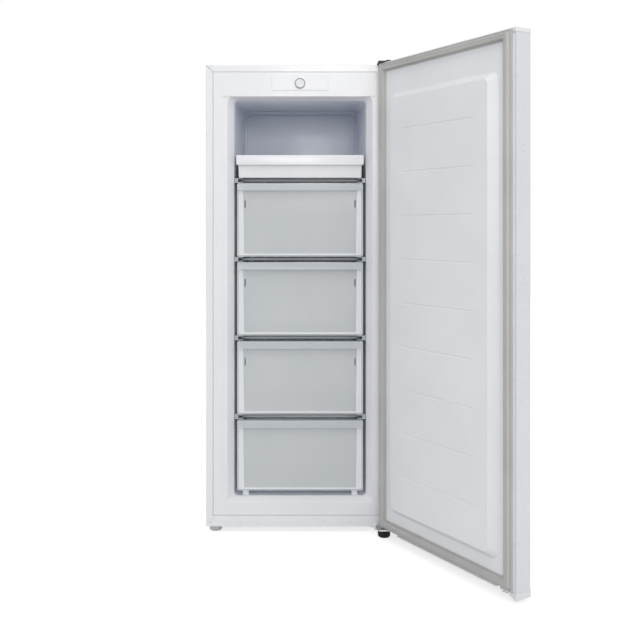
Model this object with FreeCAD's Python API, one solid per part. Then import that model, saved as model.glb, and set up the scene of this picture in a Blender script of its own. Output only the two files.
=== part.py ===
import FreeCAD, Part
import math
import os

# Upright freezer with five pull-out compartments, shown with its door open.
# Millimetres. X runs to the right, Y to the back, Z up. The origin is on the floor, on the
# centreline, straight below the front face of the cabinet.

V = FreeCAD.Vector
RIGHT, BACK, UP = V(1, 0, 0), V(0, 1, 0), V(0, 0, 1)

# ---- driving dimensions: cabinet ----
CABINET_WIDTH = 550.0
CABINET_DEPTH = 490.0
CABINET_HEIGHT = 1350.0
FLOOR_GAP = 18.0            # floor to the underside of the cabinet
SHEET = 0.8                 # outer steel sheet
SHELL_BEND = 2.5            # outside radius of the folded edges
CABINET_EDGE = 3.0          # outside radius of the long edges between the top and the sides
FRONT_FLANGE = 20.0         # folded front edge of the wrapper
REAR_FLANGE = 15.0
MITRE_GAP = 0.5
SEAT = 0.2                  # clearance between parts that are bonded or seated
RUNNING = 0.1               # clearance round turning parts and screw shanks
PRESSED = 0.02
DECK_SHEET = 1.0
RAIL_HEIGHT = 32.0
RAIL_WIDTH = 24.0
RAIL_SHEET = 1.2
RAIL_END_GAP = 5.0          # upper flange of a rail stops this far before the niche
CROSSMEMBER_DEPTH = 40.0
BEAD_WIDTH, BEAD_CORNER = 20.0, 9.0
BEAD_MARGIN = 90.0          # stiffening beads end this far from the rear panel's edges
OVERCUT = 1.0               # how far cutting tools reach past a surface

# ---- planes of the cabinet that the rest hangs on ----
HALF = CABINET_WIDTH / 2
BASE = FLOOR_GAP
TOP = BASE + CABINET_HEIGHT
DECK = BASE + RAIL_HEIGHT
FOLD = SHELL_BEND + SEAT    # sheets inside the wrapper keep clear of its folded corners

# ---- driving dimensions: compressor niche ----
NICHE_DEPTH, NICHE_HEIGHT = 190.0, 217.0
NICHE_CHAMFER = 30.0
NICHE_FRONT = CABINET_DEPTH - NICHE_DEPTH
NICHE_TOP = BASE + NICHE_HEIGHT

# ---- driving dimensions: inner liner ----
LINER = 2.0                 # plastic thickness
FACE_WIDTH = 60.0           # flat face at each side of the mouth
SILL_HEIGHT, HEADER_HEIGHT = 68.0, 92.0
MOUTH_WIDTH = CABINET_WIDTH - 2 * FACE_WIDTH
MOUTH_BOTTOM, MOUTH_TOP = BASE + SILL_HEIGHT, TOP - HEADER_HEIGHT
JAMB_SLOPE, SILL_SLOPE, LINTEL_SLOPE = 21.0, 15.0, 10.0
THROAT_WIDTH = MOUTH_WIDTH - 2 * JAMB_SLOPE
THROAT_BOTTOM, THROAT_TOP = MOUTH_BOTTOM + SILL_SLOPE, MOUTH_TOP - LINTEL_SLOPE
JAMB_DEPTH = 25.0
REAR_TAPER = 5.0
CEILING_RISE = 18.0
REAR_WALL_WIDTH = THROAT_WIDTH - 2 * REAR_TAPER
REAR_WALL_TOP = THROAT_TOP + CEILING_RISE
REAR_INSULATION = 85.0      # rear wall of the liner to the back of the cabinet
LINER_DEPTH = CABINET_DEPTH - REAR_INSULATION
LINER_CORNER = 10.0
MOUTH_CORNER = LINER_CORNER + 6.0
REBATE_WIDTH, REBATE_DEPTH = 10.0, 3.0
REBATE_BOTTOM, REBATE_TOP = THROAT_BOTTOM + 4.0, MOUTH_TOP + 1.0
HUMP_COVER = 60.0           # insulation between the niche and the step over it
HUMP_START = NICHE_FRONT - HUMP_COVER
HUMP_TOP = NICHE_TOP + HUMP_COVER
HUMP_LEAN = 12.0
HUMP_CHAMFER = 24.0
BACK_PANEL_MARGIN = 8.0
BACK_PANEL_WIDTH = REAR_WALL_WIDTH - 2 * BACK_PANEL_MARGIN
BACK_PANEL_CORNER = 13.0
BACK_PANEL_TOP = REAR_WALL_TOP - BACK_PANEL_CORNER
BACK_PANEL_DEPTH = 5.0
FLOOR_RAIL_WIDTH, FLOOR_RAIL_HEIGHT = 18.0, 15.0
FLOOR_RAIL_X = THROAT_WIDTH / 2 - 42.0
FLOOR_RAIL_SETBACK = 8.0    # rails start this far behind the jamb

# ---- driving dimensions: evaporator shelves ----
SHELF_COUNT = 4
TUBE_RADIUS = 4.0
WIRE_SIZE = 3.0
SHELF_HALF = TUBE_RADIUS + WIRE_SIZE
LOWEST_SHELF = HUMP_TOP + 38.5
TOP_SHELF = TOP - 337.0     # height of the uppermost tube
SHELF_PITCH = (TOP_SHELF - LOWEST_SHELF) / (SHELF_COUNT - 1)
SHELVES = [TOP_SHELF - SHELF_PITCH * n for n in range(SHELF_COUNT)]
RUN_COUNT = 7
FIRST_RUN = 32.0            # distance of the first run behind the front face
TUBE_END = LINER_DEPTH - 33.0
LAST_RUN_GAP = 40.0         # last run to the rear ends of the tube
RUN_PITCH = (TUBE_END - LAST_RUN_GAP - FIRST_RUN) / (RUN_COUNT - 1)
RUN_REACH = THROAT_WIDTH / 2 - 16.0  # half the spread of the tube
RETURN_GAP = 23.0           # inner bends stay this far from the side run
RISER_BEND = 14.0
WIRE_COUNT = 9
WIRE_MARGIN = 38.0          # outermost wire to the outermost run
WIRE_PITCH = 2 * (RUN_REACH - WIRE_MARGIN) / (WIRE_COUNT - 1)
WIRE_END = TUBE_RADIUS + 4.0  # wires reach this far past the outer runs
CLIP_DEPTH = 22.0
CLIP_WIDTH = 25.0
FRONT_CLIP, REAR_CLIP = FIRST_RUN + 2.0, TUBE_END - 21.0

# ---- driving dimensions: drawers and tray ----
SLIDE_GAP = 0.3             # between a drawer and what it slides on
DRAWER_HEADROOM = 1.0       # between a drawer and the shelf over it
DRAWER_WIDTH = THROAT_WIDTH - 16.0
DRAWER_BACK = TUBE_END - 10.0
SHORT_DRAWER_BACK = HUMP_START - 10.0
GRIP_FRONT = 8.5
GRIP_HEIGHT = 22.0
GRIP_INSET = 3.0            # grip ends stand in from the ends of the front panel
DRAWER_FRONT = 22.0
DRAWER_WALL = 2.4
DRAWER_CORNER = 6.0
TUB_INSET = 6.0             # tub sides stand in from the ends of the front panel
TUB_TAPER = 6.0
TUB_CORNER = 16.0
RIM = 4.0
SLOT_WIDTH, SLOT_HEIGHT = 3.0, 23.0
SLOT_DROP, SLOT_X = 50.0, DRAWER_WIDTH / 2 - 24.0
TRAY_HEIGHT = 74.0          # tube of the uppermost shelf to the tray's rim
TRAY_TOP = TOP_SHELF + TRAY_HEIGHT
TRAY_LIP_HEIGHT = 29.0
TRAY_LIP_CORNER = 3.0
TRAY_WIDTH = DRAWER_WIDTH + 2.0
TRAY_BODY_WIDTH = TRAY_WIDTH - 8.0
TRAY_FRONT = DRAWER_FRONT - 4.0
TRAY_TAPER = 3.0
TRAY_CORNER = 12.0
TRAY_WALL = 2.6

# ---- driving dimensions: door ----
DOOR_GAP = 14.0             # front face of the cabinet to the inner face of the door
DOOR_THICKNESS = 52.0
DOOR_EDGE = 8.0             # radius of the two outer upright edges
DOOR_BOTTOM = BASE + 7.0    # lower edge of the door skin
DOOR_TOP = TOP - 12.0       # upper edge of the door skin
DOOR_OPEN = 121.0           # degrees that the door stands open
CAP_OVERHANG = 1.0
TOP_CAP_HEIGHT = 10.5
BOTTOM_CAP_HEIGHT = 15.0
CAP_PLUG = 14.0             # how far the end caps reach into the door skin
CAP_WALL = 3.0
CAP_FLOOR = 3.5
HINGE_RECESS = 84.0         # length of the lower cap that is cut away over the hinge bracket
SKIRT_END = 8.0
NOTCH_X, NOTCH_WIDTH = 56.0, 13.0
NOTCH_REACH, NOTCH_RISE = 10.0, 4.0
GUSSET_LENGTH, GUSSET_WIDTH = 30.0, 6.0
PRONG_WIDTH, PRONG_PITCH = 4.5, 9.0
PRONG_DEPTH, PRONG_SETBACK = 6.0, 4.0
PRONG_SHORT = 5.0           # prongs end this far above the skirt's lower edge
GRIP_X, GRIP_POCKET = 150.0, 16.0
GRIP_LENGTH, GRIP_WIDTH, GRIP_CORNER = 160.0, 28.0, 8.0
GRIP_FORWARD = 4.0          # grip pocket stands this far in front of the door's middle
INNER_FLANGE = 12.0
PANEL = 2.0                 # plastic thickness of the inner door panel
PANEL_MARGIN = 7.0
PANEL_LIFT, PANEL_DROP = 5.0, 2.0
PLUG_HEIGHT = 19.0
PLUG_SLOPE = 18.0
PLUG_WIDTH = MOUTH_WIDTH - 34.0
PLUG_BOTTOM, PLUG_TOP = DOOR_BOTTOM + 79.0, DOOR_TOP - 102.0
PLUG_CORNER = 14.0
PLUG_FOOT_CORNER = PLUG_CORNER + PLUG_SLOPE * 0.6
RIB_COUNT = 9
RIB_LENGTH = PLUG_WIDTH - 102.0
RIB_WIDTH = 6.0
RIB_DEPTH = 1.2
LOWEST_RIB, HIGHEST_RIB = PLUG_BOTTOM + 100.5, PLUG_TOP - 89.5
RIB_PITCH = (HIGHEST_RIB - LOWEST_RIB) / (RIB_COUNT - 1)
FOAM_SETBACK = 10.0
GASKET_MARGIN = 10.0
GASKET_WIDTH = 25.0
GASKET_WING = 5.0
GASKET_INNER_BOTTOM, GASKET_INNER_TOP = DOOR_BOTTOM + 31.0, DOOR_TOP - 17.5
GASKET_GAP = 0.3            # between gasket and cabinet when the door is shut
DOOR_INNER = -DOOR_GAP
DOOR_OUTER = -DOOR_GAP - DOOR_THICKNESS
CAP_TOP = DOOR_TOP + TOP_CAP_HEIGHT
CAP_BOTTOM = DOOR_BOTTOM - BOTTOM_CAP_HEIGHT

# ---- driving dimensions: hinges and feet ----
PIN_X, PIN_Y = HALF - 19.0, DOOR_OUTER + 33.0
PIN_RADIUS = 4.0
PIN_LENGTH = 15.0
PIN_HEAD, PIN_HEAD_HEIGHT = 6.0, 1.2
PIN_SHORT = 5.0             # pins end this far short of the bushes' length
BUSH_RADIUS = 7.0
BUSH_FLOOR = 2.0
BOSS_RADIUS, BOSS_HEIGHT = 8.0, 4.0
BRACKET = 3.0               # bracket plate thickness
BRACKET_LIFT = 3.0          # lower bracket plate above the underside of the cabinet
PLATE_LEVEL = BASE + BRACKET_LIFT
BRACKET_END = HALF - 8.0    # outer side of the lower bracket
BRACKET_WIDTH = 42.0
BRACKET_CORNER = 6.0
UPPER_PLATE_X, UPPER_PLATE_Y, UPPER_PLATE_LENGTH = HALF - 28.0, -5.0, 90.0
UPPER_RIB_X, UPPER_RIB, UPPER_RIB_HEIGHT = HALF - 48.0, 3.0, 4.0
UPPER_RIB_Y = (-30.0, 36.0)
LEDGE_FRONT, LEDGE_BACK = -52.0, -1.0
RISER_WIDTH, TAIL_WIDTH = 51.0, 62.0
TAB_WIDTH, TAB_HEIGHT, TAB_CORNER = 13.0, 16.0, 4.0
TAB_DROP = 10.0             # tab reaches this far under the cabinet
BRACKET_TAIL = 58.0
FOOT_RADIUS = 18.0
FOOT_TREAD, FOOT_BEVEL = 3.0, 4.0
PAD_GAP = 2.3               # bare thread between the right pad and the bracket over it
STUD_RADIUS = 5.0
LEFT_FOOT_X, LEFT_FOOT_Y = 26.0 - HALF, 30.0
STUD_ENTRY = 0.2            # how far the right stud enters the bracket's plate past its collar
LEFT_STUD_TOP, RIGHT_STUD_TOP = DECK - 5.0, PLATE_LEVEL + STUD_ENTRY
COLLAR_DROP, COLLAR_WALL = 1.8, 2.0     # threaded collar drawn down from the lower bracket
RIGHT_FOOT_X, RIGHT_FOOT_Y = HALF - 32.0, -31.0
REAR_FOOT_Y = CABINET_DEPTH - 16.0
REAR_FOOT_TREAD, REAR_FOOT_RADIUS = 9.0, 11.0
REAR_FOOT_STUD, REAR_FOOT_STUD_LENGTH = 3.0, RAIL_SHEET + 4.0
BASE_SCREWS_X, BASE_SCREWS_Y = (HALF - 59.0, HALF - 23.0), 20.0
UPPER_SCREWS = ((HALF - 35.0, 12.0), (HALF - 17.0, 12.0), (HALF - 26.0, 30.0))
CORNER_SCREW_X, CORNER_SCREW_Z = HALF - 13.0, BASE + 12.0
SCREW_HEAD, SCREW_HEAD_HEIGHT = 4.5, 3.0
UPPER_SHANK, BASE_SHANK, BASE_SHANK_LENGTH = 2.5, 2.0, 12.0
CORNER_HEAD, CORNER_HEAD_HEIGHT, CORNER_SHANK, CORNER_SHANK_LENGTH = 3.0, 0.8, 1.6, 8.0
HOLE_PLUG, HOLE_PLUG_HEIGHT = 5.0, 1.2

# ---- driving dimensions: thermostat ----
PLATE_WIDTH, PLATE_BOTTOM, PLATE_TOP = 165.0, TOP - 75.0, TOP - 29.7
PLATE_PROUD = 2.0
PLATE_CORNER = 4.0
PLATE_NOTCH, PLATE_NOTCH_DEPTH, PLATE_NOTCH_HEIGHT = (-35.0, 67.0), 1.2, 2.0
SNAP_MARKS, SNAP_WIDTH, SNAP_HEIGHT = (-14.0, 12.0), 3.0, 4.0
KNOB_Z = PLATE_BOTTOM + 20.5
KNOB_RADIUS = 12.8
KNOB_DEPTH = 5.5
KNOB_SLOT = 3.0
KNOB_SLOT_DEPTH, KNOB_SLOT_INSET = 2.5, 2.5
RING_INNER, RING_OUTER, RING_DEPTH = KNOB_RADIUS + 1.2, KNOB_RADIUS + 2.6, 0.8
SPINDLE_RADIUS = 3.0
SPINDLE_HOLE = SPINDLE_RADIUS + 0.6
SPINDLE_CAP = 3.0           # dial's front stands this far in front of the spindle
SPINDLE_BACK = 18.0
POCKET_HALF, POCKET_DEPTH = 32.0, 40.0
POCKET_MARGIN = 6.0         # pocket stands this far inside the plate's edges
SWITCH_HALF, SWITCH_DEPTH, SWITCH_HEIGHT = 26.0, 30.0, 26.0
SWITCH_NECK, SWITCH_NECK_LENGTH = 9.0, 8.0
TERMINAL_X, TERMINAL_WIDTH, TERMINAL_HEIGHT, TERMINAL_LENGTH = 18.0, 4.0, 8.0, 7.0

# ---- driving dimensions: refrigeration ----
CROSSBAR_SHEET = 2.0
CROSSBAR_LIP = 12.0
CROSSBAR_TOP = BASE + RAIL_SHEET + CROSSBAR_SHEET
COMPRESSOR_X, COMPRESSOR_Y = 70.0, CABINET_DEPTH - 88.0
COMPRESSOR_RADIUS = 72.0
COMPRESSOR_HEIGHT = 158.0
COMPRESSOR_SEAM = 0.52      # share of the height at which the lower pot meets the lid
COMPRESSOR_BEAD = 2.5       # welded seam stands this far proud
COMPRESSOR_LIP, COMPRESSOR_STEP = 4.0, 0.1
COMPRESSOR_SINK, COMPRESSOR_TURN, COMPRESSOR_SIDE = 3.0, 11.0, 30.0
LID_SIDE, LID_SHOULDER, LID_CROWN = 38.0, 19.0, 5.0
LID_STEP = 1.5              # lid is this much narrower than the lower pot
FOOT_PLATE_LENGTH, FOOT_PLATE_WIDTH = 172.0, 124.0
FOOT_PLATE_CORNER, FOOT_PLATE = 10.0, 3.5
GROMMET_HEIGHT = 12.0
GROMMET_RADIUS, GROMMET_NECK, GROMMET_TOP = 8.0, 4.0, 7.0
GROMMET_X, GROMMET_Y = 74.0, 50.0
GROMMETS = [(x * GROMMET_X, y * GROMMET_Y) for x in (-1, 1) for y in (-1, 1)]
CROSSBAR_FRONT, CROSSBAR_REAR = COMPRESSOR_Y - 72.0, COMPRESSOR_Y + 60.0
PIPE_RADIUS = 3.2
STUB_LENGTH = 10.0
STUB_START = COMPRESSOR_X + COMPRESSOR_RADIUS * 0.5
STUB_END = COMPRESSOR_X + COMPRESSOR_RADIUS + STUB_LENGTH
PIPE_BEND = 9.0
DISCHARGE_LEVEL, SUCTION_LEVEL = BASE + 117.0, BASE + 77.0
SUCTION_Y = LINER_DEPTH + 25.0
CAPILLARY_RADIUS = 1.2
CAPILLARY_Y = LINER_DEPTH + 45.0
DRIER_X = HALF - 43.0
DRIER_TOP, DRIER_LENGTH, DRIER_RADIUS = NICHE_TOP - 50.0, 104.0, 9.0
DRIER_NECK, DRIER_SHOULDER = 6.0, 16.0
COIL_RADIUS = 2.5
COIL_RUNS = 5
COIL_FIRST = 70.0
COIL_TAIL = 36.0            # last run to the run that leads down to the niche
COIL_TAIL_Y = CABINET_DEPTH - 72.0
COIL_PITCH = (COIL_TAIL_Y - COIL_TAIL - COIL_FIRST) / (COIL_RUNS - 1)
COIL_BOTTOM, COIL_TOP = NICHE_TOP + 95.0, TOP - 58.0
COIL_END = NICHE_TOP - 10.0
COIL_X = HALF - SHEET - SEAT - COIL_RADIUS
COIL_SLOT = 1.0             # clearance of the coil ends in the deck
LOOP_Y = 8.0                # warm tube behind the front edge of the cabinet
LOOP_DROP = 24.0
COVER_CENTRE, COVER_HALF_X, COVER_HALF_Y = COMPRESSOR_X - COMPRESSOR_RADIUS - 20.0, 26.0, 27.0
COVER_CORNER, COVER_HEIGHT = 6.0, 46.0
COVER_LEVEL = CROSSBAR_TOP + GROMMET_HEIGHT + 30.0
GLAND_X = COMPRESSOR_X - COMPRESSOR_RADIUS - 30.0
GLAND_RADIUS, GLAND_FLANGE, GLAND_BORE = 6.0, 8.5, 3.6
GLAND_DROP, GLAND_LENGTH = 3.0, 11.0


# ---- shape helpers ----
# Round forms are many-sided and rounded corners are short flats, which keeps the faces few.
def box(x, y, z):
    """Box between a low and a high value along each axis."""
    return Part.makeBox(x[1] - x[0], y[1] - y[0], z[1] - z[0], V(x[0], y[0], z[0]))


def mirrored(shape):
    """The same shape on the other side of the centreline."""
    return shape.mirror(V(0, 0, 0), RIGHT)


def face_of(points):
    return Part.Face(Part.makePolygon([*points, points[0]]))


def plate(points, along):
    """Solid pushed out of a flat outline."""
    return face_of(points).extrude(along)


def side_outline(points, x):
    """Solid between two X values whose outline is given as (y, z) points."""
    return plate([V(x[0], y, z) for y, z in points], RIGHT * (x[1] - x[0]))


def skinned(rings):
    """Solid with flat sides between closed rings of points, taken in order."""
    faces = [face_of(rings[0]), face_of(rings[-1])]
    for low, high in zip(rings, rings[1:]):
        for n, here in enumerate(low):
            before = n - 1
            faces.append(face_of([low[before], here, high[n], high[before]]))
    shell = Part.makeShell(faces)
    shell.sewShape()
    solid = Part.makeSolid(shell)
    if solid.Volume < 0:
        solid.reverse()
    return solid


def rounded(centre, across, upward, half_across, half_upward, radius, flats=3):
    """Points of a rectangle in the plane of two directions, with rounded corners."""
    points = []
    for quarter, (a, b) in enumerate(((1, 1), (-1, 1), (-1, -1), (1, -1))):
        middle = (centre + across * (a * (half_across - radius))
                  + upward * (b * (half_upward - radius)))
        for n in range(flats + 1):
            turn = math.radians(90 * (quarter + n / flats))
            point = middle + across * (radius * math.cos(turn)) + upward * (radius * math.sin(turn))
            if all((point - other).Length > 1e-6 for other in points):
                points.append(point)
    return points


def upright_frame(y, width, z, radius):
    """Rounded rectangle that faces the front, centred between left and right."""
    middle = V(0, y, (z[0] + z[1]) / 2)
    return rounded(middle, RIGHT, UP, width / 2, (z[1] - z[0]) / 2, radius)


def level_frame(z, width, y, radius):
    """Rounded rectangle that lies level, centred between left and right."""
    middle = V(0, (y[0] + y[1]) / 2, z)
    return rounded(middle, RIGHT, BACK, width / 2, (y[1] - y[0]) / 2, radius)


def circle(centre, forward, radius, sides, side=None):
    """Points of a regular polygon square to a direction, with its flats at the radius."""
    side = side or (RIGHT if abs(forward.z) > 0.9 else UP)
    over = forward.cross(side)
    reach = radius / math.cos(math.pi / sides)
    turns = [2 * math.pi * (n + 0.5) / sides for n in range(sides)]
    return [centre + side * (reach * math.cos(t)) + over * (reach * math.sin(t)) for t in turns]


def rod(start, along, radius, length, sides=8):
    return plate(circle(start, along, radius, sides), along * length)


def turned(foot, profile, sides):
    """Solid turned about an upright axis, from (radius, height) points upward."""
    return skinned([circle(foot + UP * z, UP, r, sides) for r, z in profile])


def bent_tube(route, radius, bend, side, sides=6, flats=3):
    """One unbroken tube along straight runs joined by bends of one radius."""
    path = [route[0]]
    for before, corner, after in zip(route, route[1:], route[2:]):
        heading, leaving = (corner - before).normalize(), (after - corner).normalize()
        turn = math.acos(max(-1.0, min(1.0, heading.dot(leaving))))
        axis = heading.cross(leaving).normalize()
        inward = axis.cross(heading)
        start = corner - heading * (bend * math.tan(turn / 2))
        reach = bend / math.cos(turn / flats / 2)
        for n in range(flats):
            t = turn * (n + 0.5) / flats
            path.append(start + inward * (bend - reach * math.cos(t)) + heading * (reach * math.sin(t)))
    path.append(route[-1])
    headings = [(b - a).normalize() for a, b in zip(path, path[1:])]
    rings = [circle(path[0], headings[0], radius, sides, side)]
    for heading, leaving, corner in zip(headings, headings[1:], path[1:]):
        # Every corner of the section slides along its run to the plane that halves the turn.
        middle = (heading + leaving).normalize()
        ring = []
        for point in rings[-1]:
            ring.append(point + heading * ((corner - point).dot(middle) / heading.dot(middle)))
        rings.append(ring)
    last = headings[-1]
    rings.append([point + last * (path[-1] - point).dot(last) for point in rings[-1]])
    return skinned(rings)


def screw(head, along, radius, height, shank, reach, sides=6):
    """Screw with a low head, its head's base at a point and its shank behind it."""
    top = rod(head, along * -1, radius, height, sides)
    return top.fuse(rod(head, along, shank, reach))


# ---- cabinet ----
def shell_block(inset):
    """Block of the wrapper's outside, or of a shape that lies inside it, with bent edges."""
    bend = SHELL_BEND - inset
    rings = []
    for degrees in (0, 45, 90):
        turn = math.radians(degrees)
        forward, drawn_in = bend * (1 - math.cos(turn)), bend * (1 - math.sin(turn))
        width = CABINET_WIDTH - 2 * (inset + drawn_in)
        span = (BASE - CABINET_EDGE + drawn_in, TOP - inset - drawn_in)
        corner = CABINET_EDGE - inset - drawn_in
        for y in (inset + forward, CABINET_DEPTH - inset - forward):
            rings.append(upright_frame(y, width, span, corner))
    rings.sort(key=lambda ring: ring[0].y)
    below = box((-HALF - OVERCUT, HALF + OVERCUT), (-OVERCUT, CABINET_DEPTH + OVERCUT),
                (BASE - 2 * CABINET_EDGE, BASE))
    return skinned(rings).cut(below)


def cabinet_shell():
    """Folded steel wrapper: two sides and the top, with folded front and rear edges."""
    hollow = shell_block(SHEET)
    foot = box((-HALF + SHEET, HALF - SHEET), (SHEET, CABINET_DEPTH - SHEET),
               (BASE - OVERCUT, BASE + OVERCUT))
    shell = shell_block(0.0).cut(hollow).cut(foot)
    front = box((-HALF + FRONT_FLANGE, HALF - FRONT_FLANGE), (-OVERCUT, SHEET * 2),
                (BASE - OVERCUT, TOP - FRONT_FLANGE))
    rear = box((-HALF + REAR_FLANGE, HALF - REAR_FLANGE),
               (CABINET_DEPTH - SHEET * 2, CABINET_DEPTH + OVERCUT), (BASE - OVERCUT, TOP - REAR_FLANGE))
    shell = shell.cut(front).cut(rear)
    # The front edge is notched and folded, which leaves a seam across each top corner.
    seam_length = (FRONT_FLANGE - SHELL_BEND) * math.sqrt(2)
    seam = box((-OVERCUT, seam_length), (-OVERCUT, SHEET + 0.1), (-MITRE_GAP / 2, MITRE_GAP / 2))
    seam.rotate(V(0, 0, 0), BACK, -45)
    seam.translate(V(HALF - FRONT_FLANGE, 0, TOP - FRONT_FLANGE))
    shell = shell.cut(seam).cut(mirrored(seam))
    for x in (-1, 1):
        hole = rod(V(x * CORNER_SCREW_X, -OVERCUT, CORNER_SCREW_Z), BACK, CORNER_SHANK + RUNNING, 3.0)
        shell = shell.cut(hole)
    return shell


def rear_panel():
    """Flat sheet that closes the back above the compressor niche."""
    inside = HALF - FOLD
    back = CABINET_DEPTH - SHEET - SEAT
    sheet = box((-inside, inside), (back - SHEET, back), (NICHE_TOP + DECK_SHEET + SEAT, TOP - FOLD))
    # Two upright beads stiffen the sheet.
    for x in (-1, 1):
        bead = rounded(V(x * inside * 0.5, back - SHEET, (NICHE_TOP + TOP) / 2), RIGHT, UP,
                       BEAD_WIDTH / 2, (TOP - NICHE_TOP) / 2 - BEAD_MARGIN, BEAD_CORNER)
        sheet = sheet.cut(plate(bead, BACK * (SHEET * 0.5)))
    return sheet


def deck_outline(raise_by):
    """Outline of the stepped deck, lifted off its underside by a sheet thickness or more."""
    slope = raise_by * (math.sqrt(2) - 1)
    rear = CABINET_DEPTH - SHEET * 2 - SEAT * 2
    return [
        (FOLD + SEAT, DECK + raise_by),
        (NICHE_FRONT - raise_by, DECK + raise_by),
        (NICHE_FRONT - raise_by, NICHE_TOP - NICHE_CHAMFER + slope),
        (NICHE_FRONT + NICHE_CHAMFER - slope, NICHE_TOP + raise_by),
        (rear, NICHE_TOP + raise_by),
    ]


def bottom_deck():
    """Stepped galvanised sheet under the foam, over the compressor niche."""
    inside = HALF - SHEET - SEAT
    points = deck_outline(0.0) + deck_outline(DECK_SHEET)[::-1]
    deck = side_outline(points, (-inside, inside))
    for passage in (*coil_slots(), suction_pipe(SEAT), capillary_tube(SEAT)):
        deck = deck.cut(passage)
    return deck


def front_crossmember():
    """Folded channel across the foot of the cabinet front."""
    half = HALF - FRONT_FLANGE - SEAT
    sheet = RAIL_SHEET
    top = DECK - SEAT
    front = box((-half, half), (0.0, sheet), (BASE, top))
    upper = box((-half, half), (0.0, CROSSMEMBER_DEPTH), (top - sheet, top))
    tab_reach = HALF - FOLD
    lower = box((-tab_reach, tab_reach), (SHEET + SEAT, CROSSMEMBER_DEPTH), (BASE, BASE + sheet))
    tabs = box((-tab_reach, tab_reach), (SHEET + SEAT, SHEET + SEAT + sheet), (BASE, top))
    channel = front.fuse([upper, lower, tabs]).removeSplitter()
    channel = channel.cut(rod(V(LEFT_FOOT_X, LEFT_FOOT_Y, BASE - OVERCUT), UP, STUD_RADIUS + SEAT,
                              sheet + 2 * OVERCUT, 16))
    for x in BASE_SCREWS_X:
        channel = channel.cut(rod(V(x, BASE_SCREWS_Y, BASE - OVERCUT), UP, BASE_SHANK + RUNNING,
                                  sheet + 2 * OVERCUT))
    for x in (-1, 1):
        hole = rod(V(x * CORNER_SCREW_X, -OVERCUT, CORNER_SCREW_Z), BACK, CORNER_SHANK + RUNNING, 10.0)
        channel = channel.cut(hole)
    return channel


def side_rails():
    """Channels along the lower edges of both sides, which carry the rear feet."""
    outer = HALF - SHEET - SEAT
    inner = outer - RAIL_WIDTH
    start = CROSSMEMBER_DEPTH + SEAT
    end = CABINET_DEPTH - FOLD
    top = DECK - SEAT
    web = box((outer - RAIL_SHEET, outer), (start, end), (BASE, top))
    lower = box((inner, outer), (start, end), (BASE, BASE + RAIL_SHEET))
    upper = box((inner, outer), (start, NICHE_FRONT - RAIL_END_GAP), (top - RAIL_SHEET, top))
    rail = web.fuse([lower, upper]).removeSplitter()
    hole = rod(V(outer - RAIL_WIDTH / 2, REAR_FOOT_Y, BASE - OVERCUT), UP, REAR_FOOT_STUD + RUNNING,
               RAIL_SHEET + 2 * OVERCUT)
    rail = rail.cut(hole)
    return Part.makeCompound([rail, mirrored(rail)])


def hump(shrink):
    """Step over the compressor niche inside the liner, made smaller all round by a thickness."""
    front = HUMP_START + shrink
    top = HUMP_TOP - shrink
    points = [
        (front, 0.0),
        (front + HUMP_LEAN, top - HUMP_CHAMFER),
        (front + HUMP_LEAN + HUMP_CHAMFER, top),
        (LINER_DEPTH + 20.0, top),
        (LINER_DEPTH + 20.0, 0.0),
    ]
    return side_outline(points, (-HALF, HALF))


def liner_hollow(grow):
    """The space inside the liner, or its outside when grown by the plastic thickness."""
    mouth = upright_frame(0.0, MOUTH_WIDTH + 2 * grow,
                          (MOUTH_BOTTOM - grow, MOUTH_TOP + grow), MOUTH_CORNER + grow)
    throat = upright_frame(JAMB_DEPTH, THROAT_WIDTH + 2 * grow,
                           (THROAT_BOTTOM - grow, THROAT_TOP + grow), LINER_CORNER + grow)
    rear = upright_frame(LINER_DEPTH + grow, REAR_WALL_WIDTH + 2 * grow,
                         (THROAT_BOTTOM - grow, REAR_WALL_TOP + grow), LINER_CORNER + grow)
    hollow = skinned([mouth, throat, rear])
    for x in (-1, 1):
        inner = MOUTH_WIDTH / 2 - REBATE_WIDTH
        span = sorted((x * inner, x * (MOUTH_WIDTH / 2 + REBATE_WIDTH + grow)))
        hollow = hollow.fuse(box(span, (0.0, REBATE_DEPTH + grow), (REBATE_BOTTOM - grow, REBATE_TOP + grow)))
    hollow = hollow.cut(hump(grow))
    # Raised panel on the rear wall.
    raised_front = LINER_DEPTH - BACK_PANEL_DEPTH + grow
    raised = upright_frame(raised_front, BACK_PANEL_WIDTH - 2 * grow,
                           (HUMP_TOP - 60.0, BACK_PANEL_TOP - grow), BACK_PANEL_CORNER)
    hollow = hollow.cut(plate(raised, BACK * (BACK_PANEL_DEPTH + 20.0)))
    # Rails on the floor for the lowest drawer.
    for x in (-1, 1):
        span = sorted((x * (FLOOR_RAIL_X + grow), x * (FLOOR_RAIL_X + FLOOR_RAIL_WIDTH - grow)))
        rail = box(span, (JAMB_DEPTH + FLOOR_RAIL_SETBACK + grow, HUMP_START + 20.0),
                   (THROAT_BOTTOM - grow - 5.0, THROAT_BOTTOM + FLOOR_RAIL_HEIGHT - grow))
        hollow = hollow.cut(rail)
    return hollow


def thermostat_pocket(grow):
    """Pocket behind the control plate."""
    return box((-POCKET_HALF - grow, POCKET_HALF + grow), (-OVERCUT, POCKET_DEPTH + grow),
               (PLATE_BOTTOM + POCKET_MARGIN - grow, PLATE_TOP - POCKET_MARGIN + grow))


def inner_liner():
    """Thermoformed white liner with its flat front face and header."""
    half = HALF - FRONT_FLANGE - SEAT
    face = box((-half, half), (0.0, LINER), (DECK + SEAT, TOP - FRONT_FLANGE - SEAT))
    pocket = thermostat_pocket(LINER).common(box((-HALF, HALF), (0.0, LINER_DEPTH), (0.0, TOP)))
    liner = face.fuse([liner_hollow(LINER), pocket])
    liner = liner.cut(liner_hollow(0.0)).cut(thermostat_pocket(0.0))
    return liner.cut(suction_pipe(SEAT)).cut(capillary_tube(SEAT))


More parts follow.
